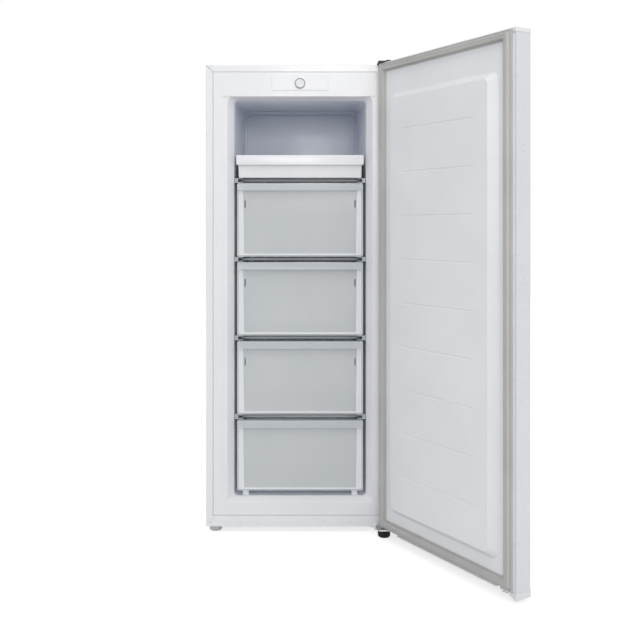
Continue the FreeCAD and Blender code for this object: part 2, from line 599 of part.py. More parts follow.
def coil_slots():
    """Slots that let the ends of both coils through the deck."""
    reach = COIL_RADIUS + COIL_SLOT
    y = (COIL_TAIL_Y - reach, COIL_TAIL_Y + reach)
    z = (NICHE_TOP - OVERCUT, NICHE_TOP + DECK_SHEET + OVERCUT)
    slot = box((COIL_X - reach, COIL_X + reach), y, z)
    return [slot, mirrored(slot)]


def condenser_coil(side, grow=0.0):
    """Condenser tube bonded to the inside of one side sheet, or the channel for it."""
    x = side * COIL_X
    route = []
    for n in range(COIL_RUNS):
        y = COIL_FIRST + COIL_PITCH * n
        ends = (COIL_BOTTOM, COIL_TOP) if n % 2 == 0 else (COIL_TOP, COIL_BOTTOM)
        route += [V(x, y, z) for z in ends]
    route += [V(x, COIL_TAIL_Y, route[-1].z), V(x, COIL_TAIL_Y, COIL_END)]
    return bent_tube(route, COIL_RADIUS + grow, COIL_TAIL / 2, RIGHT, 4, 2)


def front_frame_loop(grow=0.0):
    """Warm tube behind the cabinet's front edge, which joins the two condenser coils."""
    low = COIL_BOTTOM - LOOP_DROP
    high = TOP - SHEET - SEAT - COIL_RADIUS
    half = [V(COIL_X, COIL_FIRST, COIL_BOTTOM), V(COIL_X, COIL_FIRST, low), V(COIL_X, LOOP_Y, low),
            V(COIL_X, LOOP_Y, high)]
    other = [V(-p.x, p.y, p.z) for p in reversed(half)]
    return bent_tube(half + other, COIL_RADIUS + grow, PIPE_BEND, RIGHT, 4, 2)


def cabinet_foam():
    """Insulation that fills the space between wrapper, deck, rear panel and liner."""
    front = LINER + SEAT
    rear = CABINET_DEPTH - 2 * SHEET - 3 * SEAT
    outline = deck_outline(DECK_SHEET + SEAT)
    outline[0] = (front, outline[0][1])
    outline[-1] = (rear, outline[-1][1])
    outline += [(rear, TOP - SHEET - SEAT), (front, TOP - SHEET - SEAT)]
    foam = side_outline(outline, (-HALF, HALF)).common(shell_block(SHEET + SEAT))
    foam = foam.cut(liner_hollow(LINER + SEAT)).cut(thermostat_pocket(LINER + SEAT))
    tubes = (condenser_coil(-1, SEAT), condenser_coil(1, SEAT), front_frame_loop(SEAT),
             suction_pipe(SEAT), capillary_tube(SEAT))
    for tube in tubes:
        foam = foam.cut(tube)
    return foam


# ---- evaporator shelves ----
def shelf_route(level):
    """Back-and-forth route of one shelf's tube, with both ends at the rear."""
    route = [V(-RUN_REACH, TUBE_END, level)]
    inner = -RUN_REACH + RETURN_GAP
    for n in range(RUN_COUNT):
        y = FIRST_RUN + RUN_PITCH * n
        left = -RUN_REACH if n == 0 else inner
        ends = (left, RUN_REACH) if n % 2 == 0 else (RUN_REACH, left)
        route += [V(x, y, level) for x in ends]
    route.append(V(RUN_REACH, TUBE_END, level))
    return route


def shelf_tube(level):
    return bent_tube(shelf_route(level), TUBE_RADIUS, RUN_PITCH / 2, UP)


def shelf_wires(level):
    """Wires welded across the top and the underside of a shelf's tube."""
    wires = []
    front = FIRST_RUN - WIRE_END
    length = RUN_PITCH * (RUN_COUNT - 1) + 2 * WIRE_END
    for n in range(WIRE_COUNT):
        x = WIRE_PITCH * (n - (WIRE_COUNT - 1) / 2)
        for lift in (-1, 1):
            z = level + lift * (TUBE_RADIUS + WIRE_SIZE / 2)
            wires.append(bent_tube([V(x, front, z), V(x, front + length, z)], WIRE_SIZE / 2, 0.0, UP, 4))
    return wires


def wall_at(y):
    """Half the width of the liner at a distance behind the front face."""
    share = (y - JAMB_DEPTH) / (LINER_DEPTH - JAMB_DEPTH)
    return THROAT_WIDTH / 2 + share * (REAR_WALL_WIDTH - THROAT_WIDTH) / 2


def shelf_clips():
    """Plastic clips on the liner's side walls, which grip the shelves from above and below."""
    clips = []
    slot_end = RUN_REACH + TUBE_RADIUS / math.cos(math.pi / 6) + SEAT
    for y in (FRONT_CLIP, REAR_CLIP):
        span = (y - CLIP_DEPTH / 2, y + CLIP_DEPTH / 2)
        outer = wall_at(span[1]) - SEAT
        clip = box((outer - CLIP_WIDTH, outer), span, (-SHELF_HALF, SHELF_HALF))
        slot = box((0.0, slot_end), (0.0, LINER_DEPTH), (-TUBE_RADIUS - SEAT, TUBE_RADIUS + SEAT))
        clip = clip.cut(slot)
        clips += [clip, mirrored(clip)]
    group = []
    for shelf in SHELVES:
        for clip in clips:
            copy = clip.copy()
            copy.translate(UP * shelf)
            group.append(copy)
    return Part.makeCompound(group)


def evaporator_risers():
    """Tubes that join one shelf to the next, up the rear wall."""
    tubes = []
    for n, (upper, lower) in enumerate(zip(SHELVES, SHELVES[1:])):
        x = -RUN_REACH if n % 2 == 0 else RUN_REACH
        y = TUBE_END + RISER_BEND
        route = [V(x, TUBE_END, upper), V(x, y, upper), V(x, y, lower), V(x, TUBE_END, lower)]
        tubes.append(bent_tube(route, TUBE_RADIUS, RISER_BEND - 1.0, UP, 6, 2))
    return Part.makeCompound(tubes)


# ---- drawers ----
def drawer(level, height, back, slots):
    """Clear drawer: tapered tub, rim, front panel and overhanging grip."""
    half = DRAWER_WIDTH / 2
    tub_width = DRAWER_WIDTH - 2 * TUB_INSET
    top = level + height
    front = DRAWER_FRONT

    def tub(inset, floor, ceiling):
        low = level_frame(floor, tub_width - 2 * TUB_TAPER - 2 * inset,
                          (front + inset, back - TUB_TAPER - inset), TUB_CORNER - inset)
        high = level_frame(ceiling, tub_width - 2 * inset, (front + inset, back - inset), TUB_CORNER - inset)
        return skinned([low, high])

    rim = plate(level_frame(top - DRAWER_WALL, tub_width + 2 * RIM, (front, back + RIM), TUB_CORNER),
                UP * DRAWER_WALL)
    panel = plate(upright_frame(front, DRAWER_WIDTH, (level, top), DRAWER_CORNER), BACK * DRAWER_WALL)
    body = tub(0.0, level, top).fuse([rim, panel])
    body = body.cut(tub(DRAWER_WALL, level + DRAWER_WALL, top + 0.01))
    grip_end = half - GRIP_INSET
    grip_top = box((-grip_end, grip_end), (GRIP_FRONT, front + OVERCUT), (top - DRAWER_WALL, top))
    grip = box((-grip_end, grip_end), (GRIP_FRONT, GRIP_FRONT + DRAWER_WALL), (top - GRIP_HEIGHT, top))
    body = body.fuse([grip_top, grip])
    if slots:
        for x in (-SLOT_X, SLOT_X):
            hole = rounded(V(x, 0, top - SLOT_DROP - SLOT_HEIGHT / 2), RIGHT, UP,
                           SLOT_WIDTH / 2, SLOT_HEIGHT / 2, SLOT_WIDTH / 2, 2)
            body = body.cut(plate(hole, BACK * (front + DRAWER_WALL + OVERCUT)))
    return body.removeSplitter()


def drawer_levels():
    """Underside and height of each drawer, from the top one down."""
    floors = [shelf + SHELF_HALF + SLIDE_GAP for shelf in SHELVES[1:]]
    floors.append(THROAT_BOTTOM + FLOOR_RAIL_HEIGHT + SLIDE_GAP)
    ceilings = [shelf - SHELF_HALF - DRAWER_HEADROOM for shelf in SHELVES]
    return [(floor, ceiling - floor) for floor, ceiling in zip(floors, ceilings)]


def top_tray():
    """Shallow white tray with a deep overhanging lip."""
    level = SHELVES[0] + SHELF_HALF + SLIDE_GAP
    half = TRAY_WIDTH / 2
    wall = TRAY_WALL

    def bowl(inset, floor, ceiling):
        span = (TRAY_FRONT + inset, DRAWER_BACK - TRAY_TAPER - inset)
        low = level_frame(floor, TRAY_BODY_WIDTH - 2 * TRAY_TAPER - 2 * inset, span, TRAY_CORNER - inset)
        span = (TRAY_FRONT + inset, DRAWER_BACK - inset)
        high = level_frame(ceiling, TRAY_BODY_WIDTH - 2 * inset, span, TRAY_CORNER - inset)
        return skinned([low, high])

    tray = bowl(0.0, level, TRAY_TOP).cut(bowl(wall, level + wall, TRAY_TOP + 0.01))
    lip_span = (TRAY_TOP - TRAY_LIP_HEIGHT, TRAY_TOP)
    lip = plate(upright_frame(GRIP_FRONT, TRAY_WIDTH, lip_span, TRAY_LIP_CORNER), BACK * wall)
    shelf = box((GRIP_INSET - half, half - GRIP_INSET), (GRIP_FRONT, TRAY_FRONT + OVERCUT),
                (TRAY_TOP - wall, TRAY_TOP))
    return tray.fuse([lip, shelf]).removeSplitter()


# ---- door, built shut and then swung open ----
def door_block(inset, z):
    """Block of the door's outside, with rounded outer upright edges."""
    block = box((-HALF + inset, HALF - inset), (DOOR_OUTER + inset, DOOR_INNER - PANEL), z)
    edges = [e for e in block.Edges
             if abs(e.Vertexes[0].Point.z - e.Vertexes[1].Point.z) > 1.0
             and e.Vertexes[0].Point.y < DOOR_OUTER + inset + OVERCUT]
    return block.makeFillet(DOOR_EDGE - inset, edges)


def door_skin():
    """Steel pan with its inner edges folded in."""
    z = (DOOR_BOTTOM, DOOR_TOP)
    through = (DOOR_BOTTOM - OVERCUT, DOOR_TOP + OVERCUT)
    inside = door_block(SHEET, through)
    inside = inside.common(box((-HALF, HALF), (DOOR_OUTER, DOOR_INNER - PANEL - SHEET), through))
    skin = door_block(0.0, z).cut(inside)
    window = box((-HALF + INNER_FLANGE, HALF - INNER_FLANGE), (DOOR_INNER - PANEL - 2 * SHEET, DOOR_INNER),
                 through)
    return skin.cut(window).cut(cap_notch())


def plug_shape(shrink, tall):
    """Raised middle of the inner panel, or the hollow behind it."""
    low = DOOR_INNER - shrink
    width = PLUG_WIDTH - 2 * shrink
    z = (PLUG_BOTTOM + shrink, PLUG_TOP - shrink)
    base = upright_frame(low, width + 2 * PLUG_SLOPE, (z[0] - PLUG_SLOPE, z[1] + PLUG_SLOPE),
                         PLUG_FOOT_CORNER)
    crown = upright_frame(DOOR_INNER + tall, width, z, PLUG_CORNER)
    return skinned([base, crown])


def door_inner_panel():
    """Thermoformed inner panel: flat margin, raised middle and short level grooves."""
    half = HALF - PANEL_MARGIN
    margin = box((-half, half), (DOOR_INNER - PANEL, DOOR_INNER),
                 (DOOR_BOTTOM + PANEL_LIFT, DOOR_TOP - PANEL_DROP))
    panel = margin.fuse(plug_shape(0.0, PLUG_HEIGHT))
    panel = panel.cut(plug_shape(PANEL, PLUG_HEIGHT - PANEL))
    face = DOOR_INNER + PLUG_HEIGHT
    for n in range(RIB_COUNT):
        middle = V(0, face - RIB_DEPTH, LOWEST_RIB + RIB_PITCH * n)
        groove = rounded(middle, RIGHT, UP, RIB_LENGTH / 2, RIB_WIDTH / 2, RIB_WIDTH / 2, 2)
        panel = panel.cut(plate(groove, BACK * (RIB_DEPTH + OVERCUT)))
    return panel


def door_foam():
    """Insulation inside the door."""
    z = (DOOR_BOTTOM + CAP_PLUG + SEAT, DOOR_TOP - CAP_PLUG - SEAT)
    block = door_block(SHEET + SEAT, z)
    window = HALF - INNER_FLANGE - SEAT
    rear = DOOR_INNER - PANEL - SEAT
    core = block.common(box((-HALF, HALF), (DOOR_OUTER, DOOR_INNER - PANEL - SHEET - SEAT), z))
    core = core.fuse(box((-window, window), (DOOR_OUTER + FOAM_SETBACK, rear), z))
    return core.fuse(plug_shape(PANEL + SEAT, PLUG_HEIGHT - PANEL - SEAT)).removeSplitter()


def gasket_frame(y, inset):
    """Closed rectangle at a distance in from the gasket's outer edge."""
    half = HALF - GASKET_MARGIN - inset
    bottom = GASKET_INNER_BOTTOM - GASKET_WIDTH + inset
    top = GASKET_INNER_TOP + GASKET_WIDTH - inset
    return [V(-half, y, bottom), V(half, y, bottom), V(half, y, top), V(-half, y, top)]


def door_gasket():
    """Magnetic seal: flat wings at both edges and a raised hollow lip between them."""
    foot = DOOR_INNER
    face = -GASKET_GAP
    wing = foot + GASKET_WING
    outer = skinned([gasket_frame(foot, 0.0), gasket_frame(wing, 0.6), gasket_frame(face - 1.5, 7.0),
                    gasket_frame(face, 8.5)])
    inner = skinned([gasket_frame(foot, GASKET_WIDTH), gasket_frame(wing - 1.5, GASKET_WIDTH - 0.6),
                    gasket_frame(face - 1.5, GASKET_WIDTH - 4.0), gasket_frame(face, GASKET_WIDTH - 5.5)])
    return outer.cut(inner)


def cap_block(z):
    """Outline of an end cap, a little proud of the door skin."""
    over = CAP_OVERHANG
    block = box((-HALF - over, HALF + over), (DOOR_OUTER - over, DOOR_INNER), z)
    edges = [e for e in block.Edges
             if abs(e.Vertexes[0].Point.z - e.Vertexes[1].Point.z) > 1.0
             and e.Vertexes[0].Point.y < DOOR_OUTER]
    return block.makeFillet(DOOR_EDGE + over, edges)


def cap_plug(z):
    """Part of an end cap that fills the end of the door skin."""
    body = door_block(SHEET + SEAT, z)
    return body.common(box((-HALF, HALF), (DOOR_OUTER, DOOR_INNER - PANEL - SHEET - SEAT), z))


def cap_notch():
    """Notch through the lower edge of the door near its free side."""
    right = -HALF + NOTCH_X + NOTCH_WIDTH
    return box((right - NOTCH_WIDTH, right), (DOOR_INNER - NOTCH_REACH, DOOR_INNER + OVERCUT),
               (CAP_BOTTOM - OVERCUT, DOOR_BOTTOM + NOTCH_RISE))


def door_top_cap():
    """Moulded upper end cap with a grip pocket and the seat of the hinge bush."""
    cap = cap_block((DOOR_TOP, CAP_TOP)).fuse(cap_plug((DOOR_TOP - CAP_PLUG, DOOR_TOP)))
    middle = V(-GRIP_X, (DOOR_OUTER + DOOR_INNER) / 2 - GRIP_FORWARD, CAP_TOP - GRIP_POCKET)
    pocket = rounded(middle, RIGHT, BACK, GRIP_LENGTH / 2, GRIP_WIDTH / 2, GRIP_CORNER)
    cap = cap.cut(plate(pocket, UP * (GRIP_POCKET + OVERCUT)))
    seat = rod(V(PIN_X, PIN_Y, CAP_TOP - PIN_LENGTH), UP, BUSH_RADIUS + RUNNING, PIN_LENGTH + OVERCUT, 16)
    return cap.cut(seat).removeSplitter()


def door_bottom_cap():
    """Moulded lower end cap: skirt round the front and free side, open towards the hinge."""
    cap = cap_block((CAP_BOTTOM, DOOR_BOTTOM))
    over = CAP_OVERHANG
    beyond = HALF + over + OVERCUT
    wide = (-HALF + CAP_WALL, beyond)
    deep = (DOOR_OUTER + CAP_WALL, DOOR_INNER + OVERCUT)
    cap = cap.cut(box(wide, deep, (CAP_BOTTOM - OVERCUT, DOOR_BOTTOM - CAP_FLOOR)))
    cap = cap.cut(box((HALF - HINGE_RECESS, beyond), deep, (CAP_BOTTOM - OVERCUT, DOOR_BOTTOM)))
    cap = cap.fuse(cap_plug((DOOR_BOTTOM, DOOR_BOTTOM + CAP_PLUG)))
    # The skirt stops short of the hinge end, where it swings past the bracket.
    cap = cap.cut(box((HALF - SKIRT_END, beyond), (DOOR_OUTER - over - OVERCUT, DOOR_INNER + OVERCUT),
                      (CAP_BOTTOM - OVERCUT, DOOR_BOTTOM)))
    roof = DOOR_BOTTOM - CAP_FLOOR
    side = DOOR_INNER - GUSSET_WIDTH
    gusset = [V(-HALF, side, CAP_BOTTOM), V(-HALF + GUSSET_LENGTH, side, roof), V(-HALF, side, roof)]
    cap = cap.fuse(plate(gusset, BACK * GUSSET_WIDTH))
    back = DOOR_INNER - PRONG_SETBACK
    for n in range(2):
        x = NOTCH_X - HALF - PRONG_DEPTH - PRONG_PITCH * n
        prong = box((x - PRONG_WIDTH, x), (back - PRONG_DEPTH, back), (CAP_BOTTOM + PRONG_SHORT, roof))
        cap = cap.fuse(prong)
    cap = cap.cut(cap_notch())
    seat = rod(V(PIN_X, PIN_Y, DOOR_BOTTOM - OVERCUT), UP, BUSH_RADIUS + RUNNING, PIN_LENGTH, 16)
    return cap.cut(seat).removeSplitter()


def door_bushes():
    """Plastic bushes in which the door turns on its two pins."""
    low = DOOR_BOTTOM + RUNNING
    lower = rod(V(PIN_X, PIN_Y, low), UP, BUSH_RADIUS, PIN_LENGTH - OVERCUT - 2 * RUNNING, 16)
    lower = lower.cut(rod(V(PIN_X, PIN_Y, low - OVERCUT), UP, PIN_RADIUS + RUNNING,
                          PIN_LENGTH - BUSH_FLOOR, 16))
    start = CAP_TOP - PIN_LENGTH + RUNNING
    upper = rod(V(PIN_X, PIN_Y, start), UP, BUSH_RADIUS, PIN_LENGTH - RUNNING, 16)
    upper = upper.cut(rod(V(PIN_X, PIN_Y, start + BUSH_FLOOR), UP, PIN_RADIUS + RUNNING, PIN_LENGTH, 16))
    return Part.makeCompound([lower, upper])


def swung_open(shape):
    """Turn a door part about the hinge line from shut to the shown pose."""
    turned = shape.copy()
    turned.rotate(V(PIN_X, PIN_Y, 0), UP, DOOR_OPEN)
    return turned


# ---- hinges and feet ----
def upper_hinge_bracket():
    """Black plate on the cabinet top that reaches over the door."""
    middle = V(UPPER_PLATE_X, UPPER_PLATE_Y, TOP)
    outline = rounded(middle, RIGHT, BACK, BRACKET_WIDTH / 2, UPPER_PLATE_LENGTH / 2, BRACKET_CORNER)
    body = plate(outline, UP * BRACKET)
    rib = box((UPPER_RIB_X, UPPER_RIB_X + UPPER_RIB), UPPER_RIB_Y,
              (TOP + BRACKET, TOP + BRACKET + UPPER_RIB_HEIGHT))
    boss = rod(V(PIN_X, PIN_Y, TOP + BRACKET), UP, BOSS_RADIUS, BOSS_HEIGHT, 16)
    body = body.fuse([rib, boss])
    body = body.cut(rod(V(PIN_X, PIN_Y, TOP - OVERCUT), UP, PIN_RADIUS + PRESSED, 20.0, 16))
    for x, y in UPPER_SCREWS:
        body = body.cut(rod(V(x, y, TOP - OVERCUT), UP, UPPER_SHANK + RUNNING, BRACKET + 2 * OVERCUT))
    return body.removeSplitter()


def upper_hinge_pin():
    """Riveted pin that drops into the door's upper bush."""
    low = CAP_TOP - PIN_LENGTH + PIN_SHORT
    head = TOP + BRACKET + BOSS_HEIGHT
    pin = rod(V(PIN_X, PIN_Y, low), UP, PIN_RADIUS, head - low, 16)
    return pin.fuse(rod(V(PIN_X, PIN_Y, head), UP, PIN_HEAD, PIN_HEAD_HEIGHT, 16)).removeSplitter()


def lower_hinge_bracket():
    """Cranked plate under the cabinet's front corner: it carries the door's pin and a foot."""
    low = PLATE_LEVEL
    middle = V(BRACKET_END - BRACKET_WIDTH / 2, (LEDGE_FRONT + LEDGE_BACK) / 2, low)
    outline = rounded(middle, RIGHT, BACK, BRACKET_WIDTH / 2, (LEDGE_BACK - LEDGE_FRONT) / 2, BRACKET_CORNER)
    ledge = plate(outline, UP * BRACKET)
    inner = BRACKET_END - RISER_WIDTH
    riser = box((inner, BRACKET_END), (-BRACKET, 0.0), (BASE - BRACKET, low + BRACKET))
    corner = V(inner + TAB_WIDTH / 2, -BRACKET, BASE - TAB_DROP + TAB_HEIGHT / 2)
    tab = rounded(corner, RIGHT, UP, TAB_WIDTH / 2, TAB_HEIGHT / 2, TAB_CORNER)
    tab = plate(tab, BACK * BRACKET)
    tail = box((BRACKET_END - TAIL_WIDTH, BRACKET_END), (-BRACKET, BRACKET_TAIL), (BASE - BRACKET, BASE))
    # The plate is drawn down round the thread, so the stud ends inside it, clear of the door.
    collar = rod(V(RIGHT_FOOT_X, RIGHT_FOOT_Y, low - COLLAR_DROP), UP, STUD_RADIUS + COLLAR_WALL,
                 COLLAR_DROP, 16)
    body = ledge.fuse([riser, tab, tail, collar])
    body = body.cut(rod(V(PIN_X, PIN_Y, 0), UP, PIN_RADIUS + PRESSED, 60.0, 16))
    body = body.cut(rod(V(RIGHT_FOOT_X, RIGHT_FOOT_Y, 0), UP, STUD_RADIUS + SEAT, 60.0, 16))
    for x in BASE_SCREWS_X:
        body = body.cut(rod(V(x, BASE_SCREWS_Y, 0), UP, BASE_SHANK + RUNNING, 60.0))
    return body.removeSplitter()


def lower_hinge_pin():
    """Pin riveted in the lower bracket, with a collar under the door."""
    low = PLATE_LEVEL
    top = DOOR_BOTTOM + PIN_LENGTH - PIN_SHORT
    return rod(V(PIN_X, PIN_Y, low), UP, PIN_RADIUS, top - low, 16)


def hinge_screws():
    """Screws of both hinge brackets."""
    upper = [screw(V(x, y, TOP + BRACKET), UP * -1, SCREW_HEAD, SCREW_HEAD_HEIGHT, UPPER_SHANK, BRACKET)
             for x, y in UPPER_SCREWS]
    lower = [screw(V(x, BASE_SCREWS_Y, BASE - BRACKET), UP, SCREW_HEAD, SCREW_HEAD_HEIGHT, BASE_SHANK,
                   BASE_SHANK_LENGTH) for x in BASE_SCREWS_X]
    return Part.makeCompound(upper + lower)


def levelling_foot(x, y, height, stud_top):
    """Round pad on a threaded stud."""
    r = FOOT_RADIUS
    profile = [(r - FOOT_TREAD, 0.0), (r, FOOT_BEVEL), (r, height - 1.0), (r - 1.0, height)]
    pad = turned(V(x, y, 0), profile, 24)
    stud = rod(V(x, y, height - 1.0), UP, STUD_RADIUS, stud_top - height + 1.0, 16)
    return pad.fuse(stud).removeSplitter()


def rear_feet():
    """Fixed plastic feet under the rear ends of the side rails."""
    x = HALF - SHEET - SEAT - RAIL_WIDTH / 2
    pad = turned(V(x, REAR_FOOT_Y, 0), [(REAR_FOOT_TREAD, 0.0), (REAR_FOOT_RADIUS, BASE)], 12)
    pad = pad.fuse(rod(V(x, REAR_FOOT_Y, BASE - 1.0), UP, REAR_FOOT_STUD, REAR_FOOT_STUD_LENGTH))
    return Part.makeCompound([pad, mirrored(pad)])


def corner_screws():
    """Screws through the foot of the front edges into the crossmember."""
    return Part.makeCompound([
        screw(V(x * CORNER_SCREW_X, 0.0, CORNER_SCREW_Z), BACK, CORNER_HEAD, CORNER_HEAD_HEIGHT,
              CORNER_SHANK, CORNER_SHANK_LENGTH, 12) for x in (-1, 1)])


def hinge_hole_plugs():
    """Plugs in the cabinet top for the other hinge position."""
    return Part.makeCompound([
        rod(V(-x, y, TOP), UP, HOLE_PLUG, HOLE_PLUG_HEIGHT, 12) for x, y in UPPER_SCREWS])


# ---- thermostat ----
def control_plate():
    """Small plate in the header, with a ring round the dial."""
    z = (PLATE_BOTTOM, PLATE_TOP)
    body = plate(upright_frame(-PLATE_PROUD, PLATE_WIDTH, z, PLATE_CORNER), BACK * PLATE_PROUD)
    middle = V(0, -PLATE_PROUD - OVERCUT, KNOB_Z)
    body = body.cut(rod(middle, BACK, RING_OUTER, OVERCUT + RING_DEPTH, 24))
    body = body.fuse(rod(V(0, -PLATE_PROUD, KNOB_Z), BACK, RING_INNER, PLATE_PROUD, 24))
    body = body.cut(rod(middle, BACK, SPINDLE_HOLE, 20.0, 16))
    # Finger notch under the lower edge and two snap marks.
    step = (-PLATE_PROUD - OVERCUT, -PLATE_PROUD + PLATE_NOTCH_DEPTH)
    edge = PLATE_BOTTOM + PLATE_NOTCH_HEIGHT
    body = body.cut(box(PLATE_NOTCH, step, (PLATE_BOTTOM - OVERCUT, edge)))
    for x in SNAP_MARKS:
        mark = box((x - SNAP_WIDTH / 2, x + SNAP_WIDTH / 2), step, (edge, edge + SNAP_HEIGHT))
        body = body.cut(mark)
    return body.removeSplitter()


def thermostat():
    """Thermostat switch in its pocket behind the plate."""
    half = SWITCH_HEIGHT / 2
    body = box((-SWITCH_HALF, SWITCH_HALF), (SEAT, SWITCH_DEPTH), (KNOB_Z - half, KNOB_Z + half))
    neck = rod(V(0, SWITCH_DEPTH, KNOB_Z), BACK, SWITCH_NECK, SWITCH_NECK_LENGTH, 12)
    y = (SWITCH_DEPTH, SWITCH_DEPTH + TERMINAL_LENGTH)
    z = (KNOB_Z - TERMINAL_HEIGHT / 2, KNOB_Z + TERMINAL_HEIGHT / 2)
    terminals = [box((x - TERMINAL_WIDTH / 2, x + TERMINAL_WIDTH / 2), y, z)
                 for x in (-TERMINAL_X, TERMINAL_X)]
    body = body.fuse([neck, *terminals])
    bore = rod(V(0, -OVERCUT, KNOB_Z), BACK, SPINDLE_RADIUS + RUNNING, 20.0, 16)
    return body.cut(bore).removeSplitter()


def thermostat_knob():
    """Flat dial with a coin slot."""
    back = -PLATE_PROUD - SEAT
    front = back - KNOB_DEPTH
    rings = ((back, KNOB_RADIUS), (front + 1.0, KNOB_RADIUS - 0.5), (front, KNOB_RADIUS - 1.5))
    dial = skinned([circle(V(0, y, KNOB_Z), BACK, r, 24) for y, r in rings])
    reach = KNOB_RADIUS - KNOB_SLOT_INSET
    slot = box((-reach, reach), (front - OVERCUT, front + KNOB_SLOT_DEPTH),
               (KNOB_Z - KNOB_SLOT / 2, KNOB_Z + KNOB_SLOT / 2))
    slot.rotate(V(0, 0, KNOB_Z), BACK, 45)
    dial = dial.cut(slot)
    return dial.cut(rod(V(0, front + SPINDLE_CAP, KNOB_Z), BACK, SPINDLE_RADIUS + PRESSED, KNOB_DEPTH, 16))


def thermostat_spindle():
    """Spindle that the dial sits on."""
    front = -PLATE_PROUD - SEAT - KNOB_DEPTH + SPINDLE_CAP
    return rod(V(0, front, KNOB_Z), BACK, SPINDLE_RADIUS, SPINDLE_BACK - front, 16)


# ---- refrigeration in the niche ----
def compressor():
    """Welded steel pot with its foot plate and two stub pipes."""
    floor = CROSSBAR_TOP + GROMMET_HEIGHT
    r, h = COMPRESSOR_RADIUS, COMPRESSOR_HEIGHT
    seam, lid = floor + h * COMPRESSOR_SEAM, floor + h
    bead, narrow, lip = r + COMPRESSOR_BEAD, r - LID_STEP, COMPRESSOR_LIP
    lower = [(r * 0.62, floor + COMPRESSOR_SINK), (r * 0.92, floor + COMPRESSOR_TURN),
             (r, floor + COMPRESSOR_SIDE), (r, seam - lip)]
    rim = [(bead, seam - lip + COMPRESSOR_STEP), (bead, seam + lip - 1.0)]
    upper = [(narrow, seam + lip - 1.0 + COMPRESSOR_STEP), (narrow, lid - LID_SIDE),
             (r * 0.86, lid - LID_SHOULDER), (r * 0.62, lid - LID_CROWN), (r * 0.30, lid)]
    pot = turned(V(COMPRESSOR_X, COMPRESSOR_Y, 0), lower + rim + upper, 20)
    foot = plate(rounded(V(COMPRESSOR_X, COMPRESSOR_Y, floor), RIGHT, BACK, FOOT_PLATE_LENGTH / 2,
                         FOOT_PLATE_WIDTH / 2, FOOT_PLATE_CORNER, 2), UP * FOOT_PLATE)
    for x, y in GROMMETS:
        hole = rod(V(COMPRESSOR_X + x, COMPRESSOR_Y + y, floor - OVERCUT), UP, GROMMET_NECK + SEAT,
                   FOOT_PLATE + 2 * OVERCUT)
        foot = foot.cut(hole)
    stubs = [rod(V(STUB_START, y, z), RIGHT, PIPE_RADIUS, STUB_END - STUB_START)
             for y, z in ((COIL_TAIL_Y, DISCHARGE_LEVEL), (SUCTION_Y, SUCTION_LEVEL))]
    return pot.fuse([foot, *stubs]).removeSplitter()


def compressor_grommets():
    """Rubber mounts between the foot plate and the crossbar."""
    group = []
    for x, y in GROMMETS:
        base = V(COMPRESSOR_X + x, COMPRESSOR_Y + y, CROSSBAR_TOP)
        collar = rod(base, UP, GROMMET_RADIUS, GROMMET_HEIGHT)
        collar = collar.fuse(rod(base, UP, GROMMET_NECK, GROMMET_HEIGHT + GROMMET_TOP))
        group.append(collar.removeSplitter())
    return Part.makeCompound(group)


def compressor_crossbar():
    """Ribbed plate across the niche that carries the compressor."""
    half = HALF - SHEET - RAIL_SHEET - 2 * SEAT
    low = BASE + RAIL_SHEET
    y = (CROSSBAR_FRONT, CROSSBAR_REAR)
    bar = box((-half, half), y, (low, low + CROSSBAR_SHEET))
    for edge in ((y[0], y[0] + CROSSBAR_SHEET), (y[1] - CROSSBAR_SHEET, y[1])):
        bar = bar.fuse(box((-half + RAIL_WIDTH, half - RAIL_WIDTH), edge, (low, low + CROSSBAR_LIP)))
    return bar.removeSplitter()


def start_relay_cover():
    """Cover over the start relay and terminals on the compressor's side."""
    shell = rounded(V(COVER_CENTRE, COMPRESSOR_Y, COVER_LEVEL), RIGHT, BACK, COVER_HALF_X, COVER_HALF_Y,
                    COVER_CORNER)
    cover = plate(shell, UP * COVER_HEIGHT)
    pot = rod(V(COMPRESSOR_X, COMPRESSOR_Y, 0), UP, COMPRESSOR_RADIUS + SEAT, NICHE_TOP, 20)
    cover = cover.cut(pot)
    bore = rod(V(GLAND_X, COMPRESSOR_Y, COVER_LEVEL - OVERCUT), UP, GLAND_RADIUS + SEAT, 12.0, 12)
    return max(cover.cut(bore).Solids, key=lambda piece: piece.Volume)


def cord_gland():
    """Bush in the underside of the relay cover where the supply lead enters."""
    foot = V(GLAND_X, COMPRESSOR_Y, COVER_LEVEL - GLAND_DROP)
    bush = rod(foot, UP, GLAND_RADIUS, GLAND_LENGTH, 12)
    flange = rod(foot, UP, GLAND_FLANGE, GLAND_DROP - SEAT, 12)
    bore = rod(foot - UP * OVERCUT, UP, GLAND_BORE, GLAND_LENGTH + 3 * OVERCUT, 12)
    return bush.fuse(flange).cut(bore).removeSplitter()


def discharge_pipe():
    """Pipe from the compressor to the right-hand condenser coil."""
    route = [V(STUB_END, COIL_TAIL_Y, DISCHARGE_LEVEL), V(COIL_X, COIL_TAIL_Y, DISCHARGE_LEVEL),
             V(COIL_X, COIL_TAIL_Y, COIL_END)]
    return bent_tube(route, COIL_RADIUS, PIPE_BEND, BACK, 4, 2)


def suction_pipe(grow=0.0):
    """Pipe from the lowest shelf through the rear wall to the compressor."""
    level = SHELVES[-1]
    route = [V(RUN_REACH, TUBE_END, level), V(RUN_REACH, SUCTION_Y, level),
             V(RUN_REACH, SUCTION_Y, SUCTION_LEVEL), V(STUB_END, SUCTION_Y, SUCTION_LEVEL)]
    return bent_tube(route, PIPE_RADIUS + grow, PIPE_BEND + PIPE_RADIUS, RIGHT, 4 if grow else 8, 2)


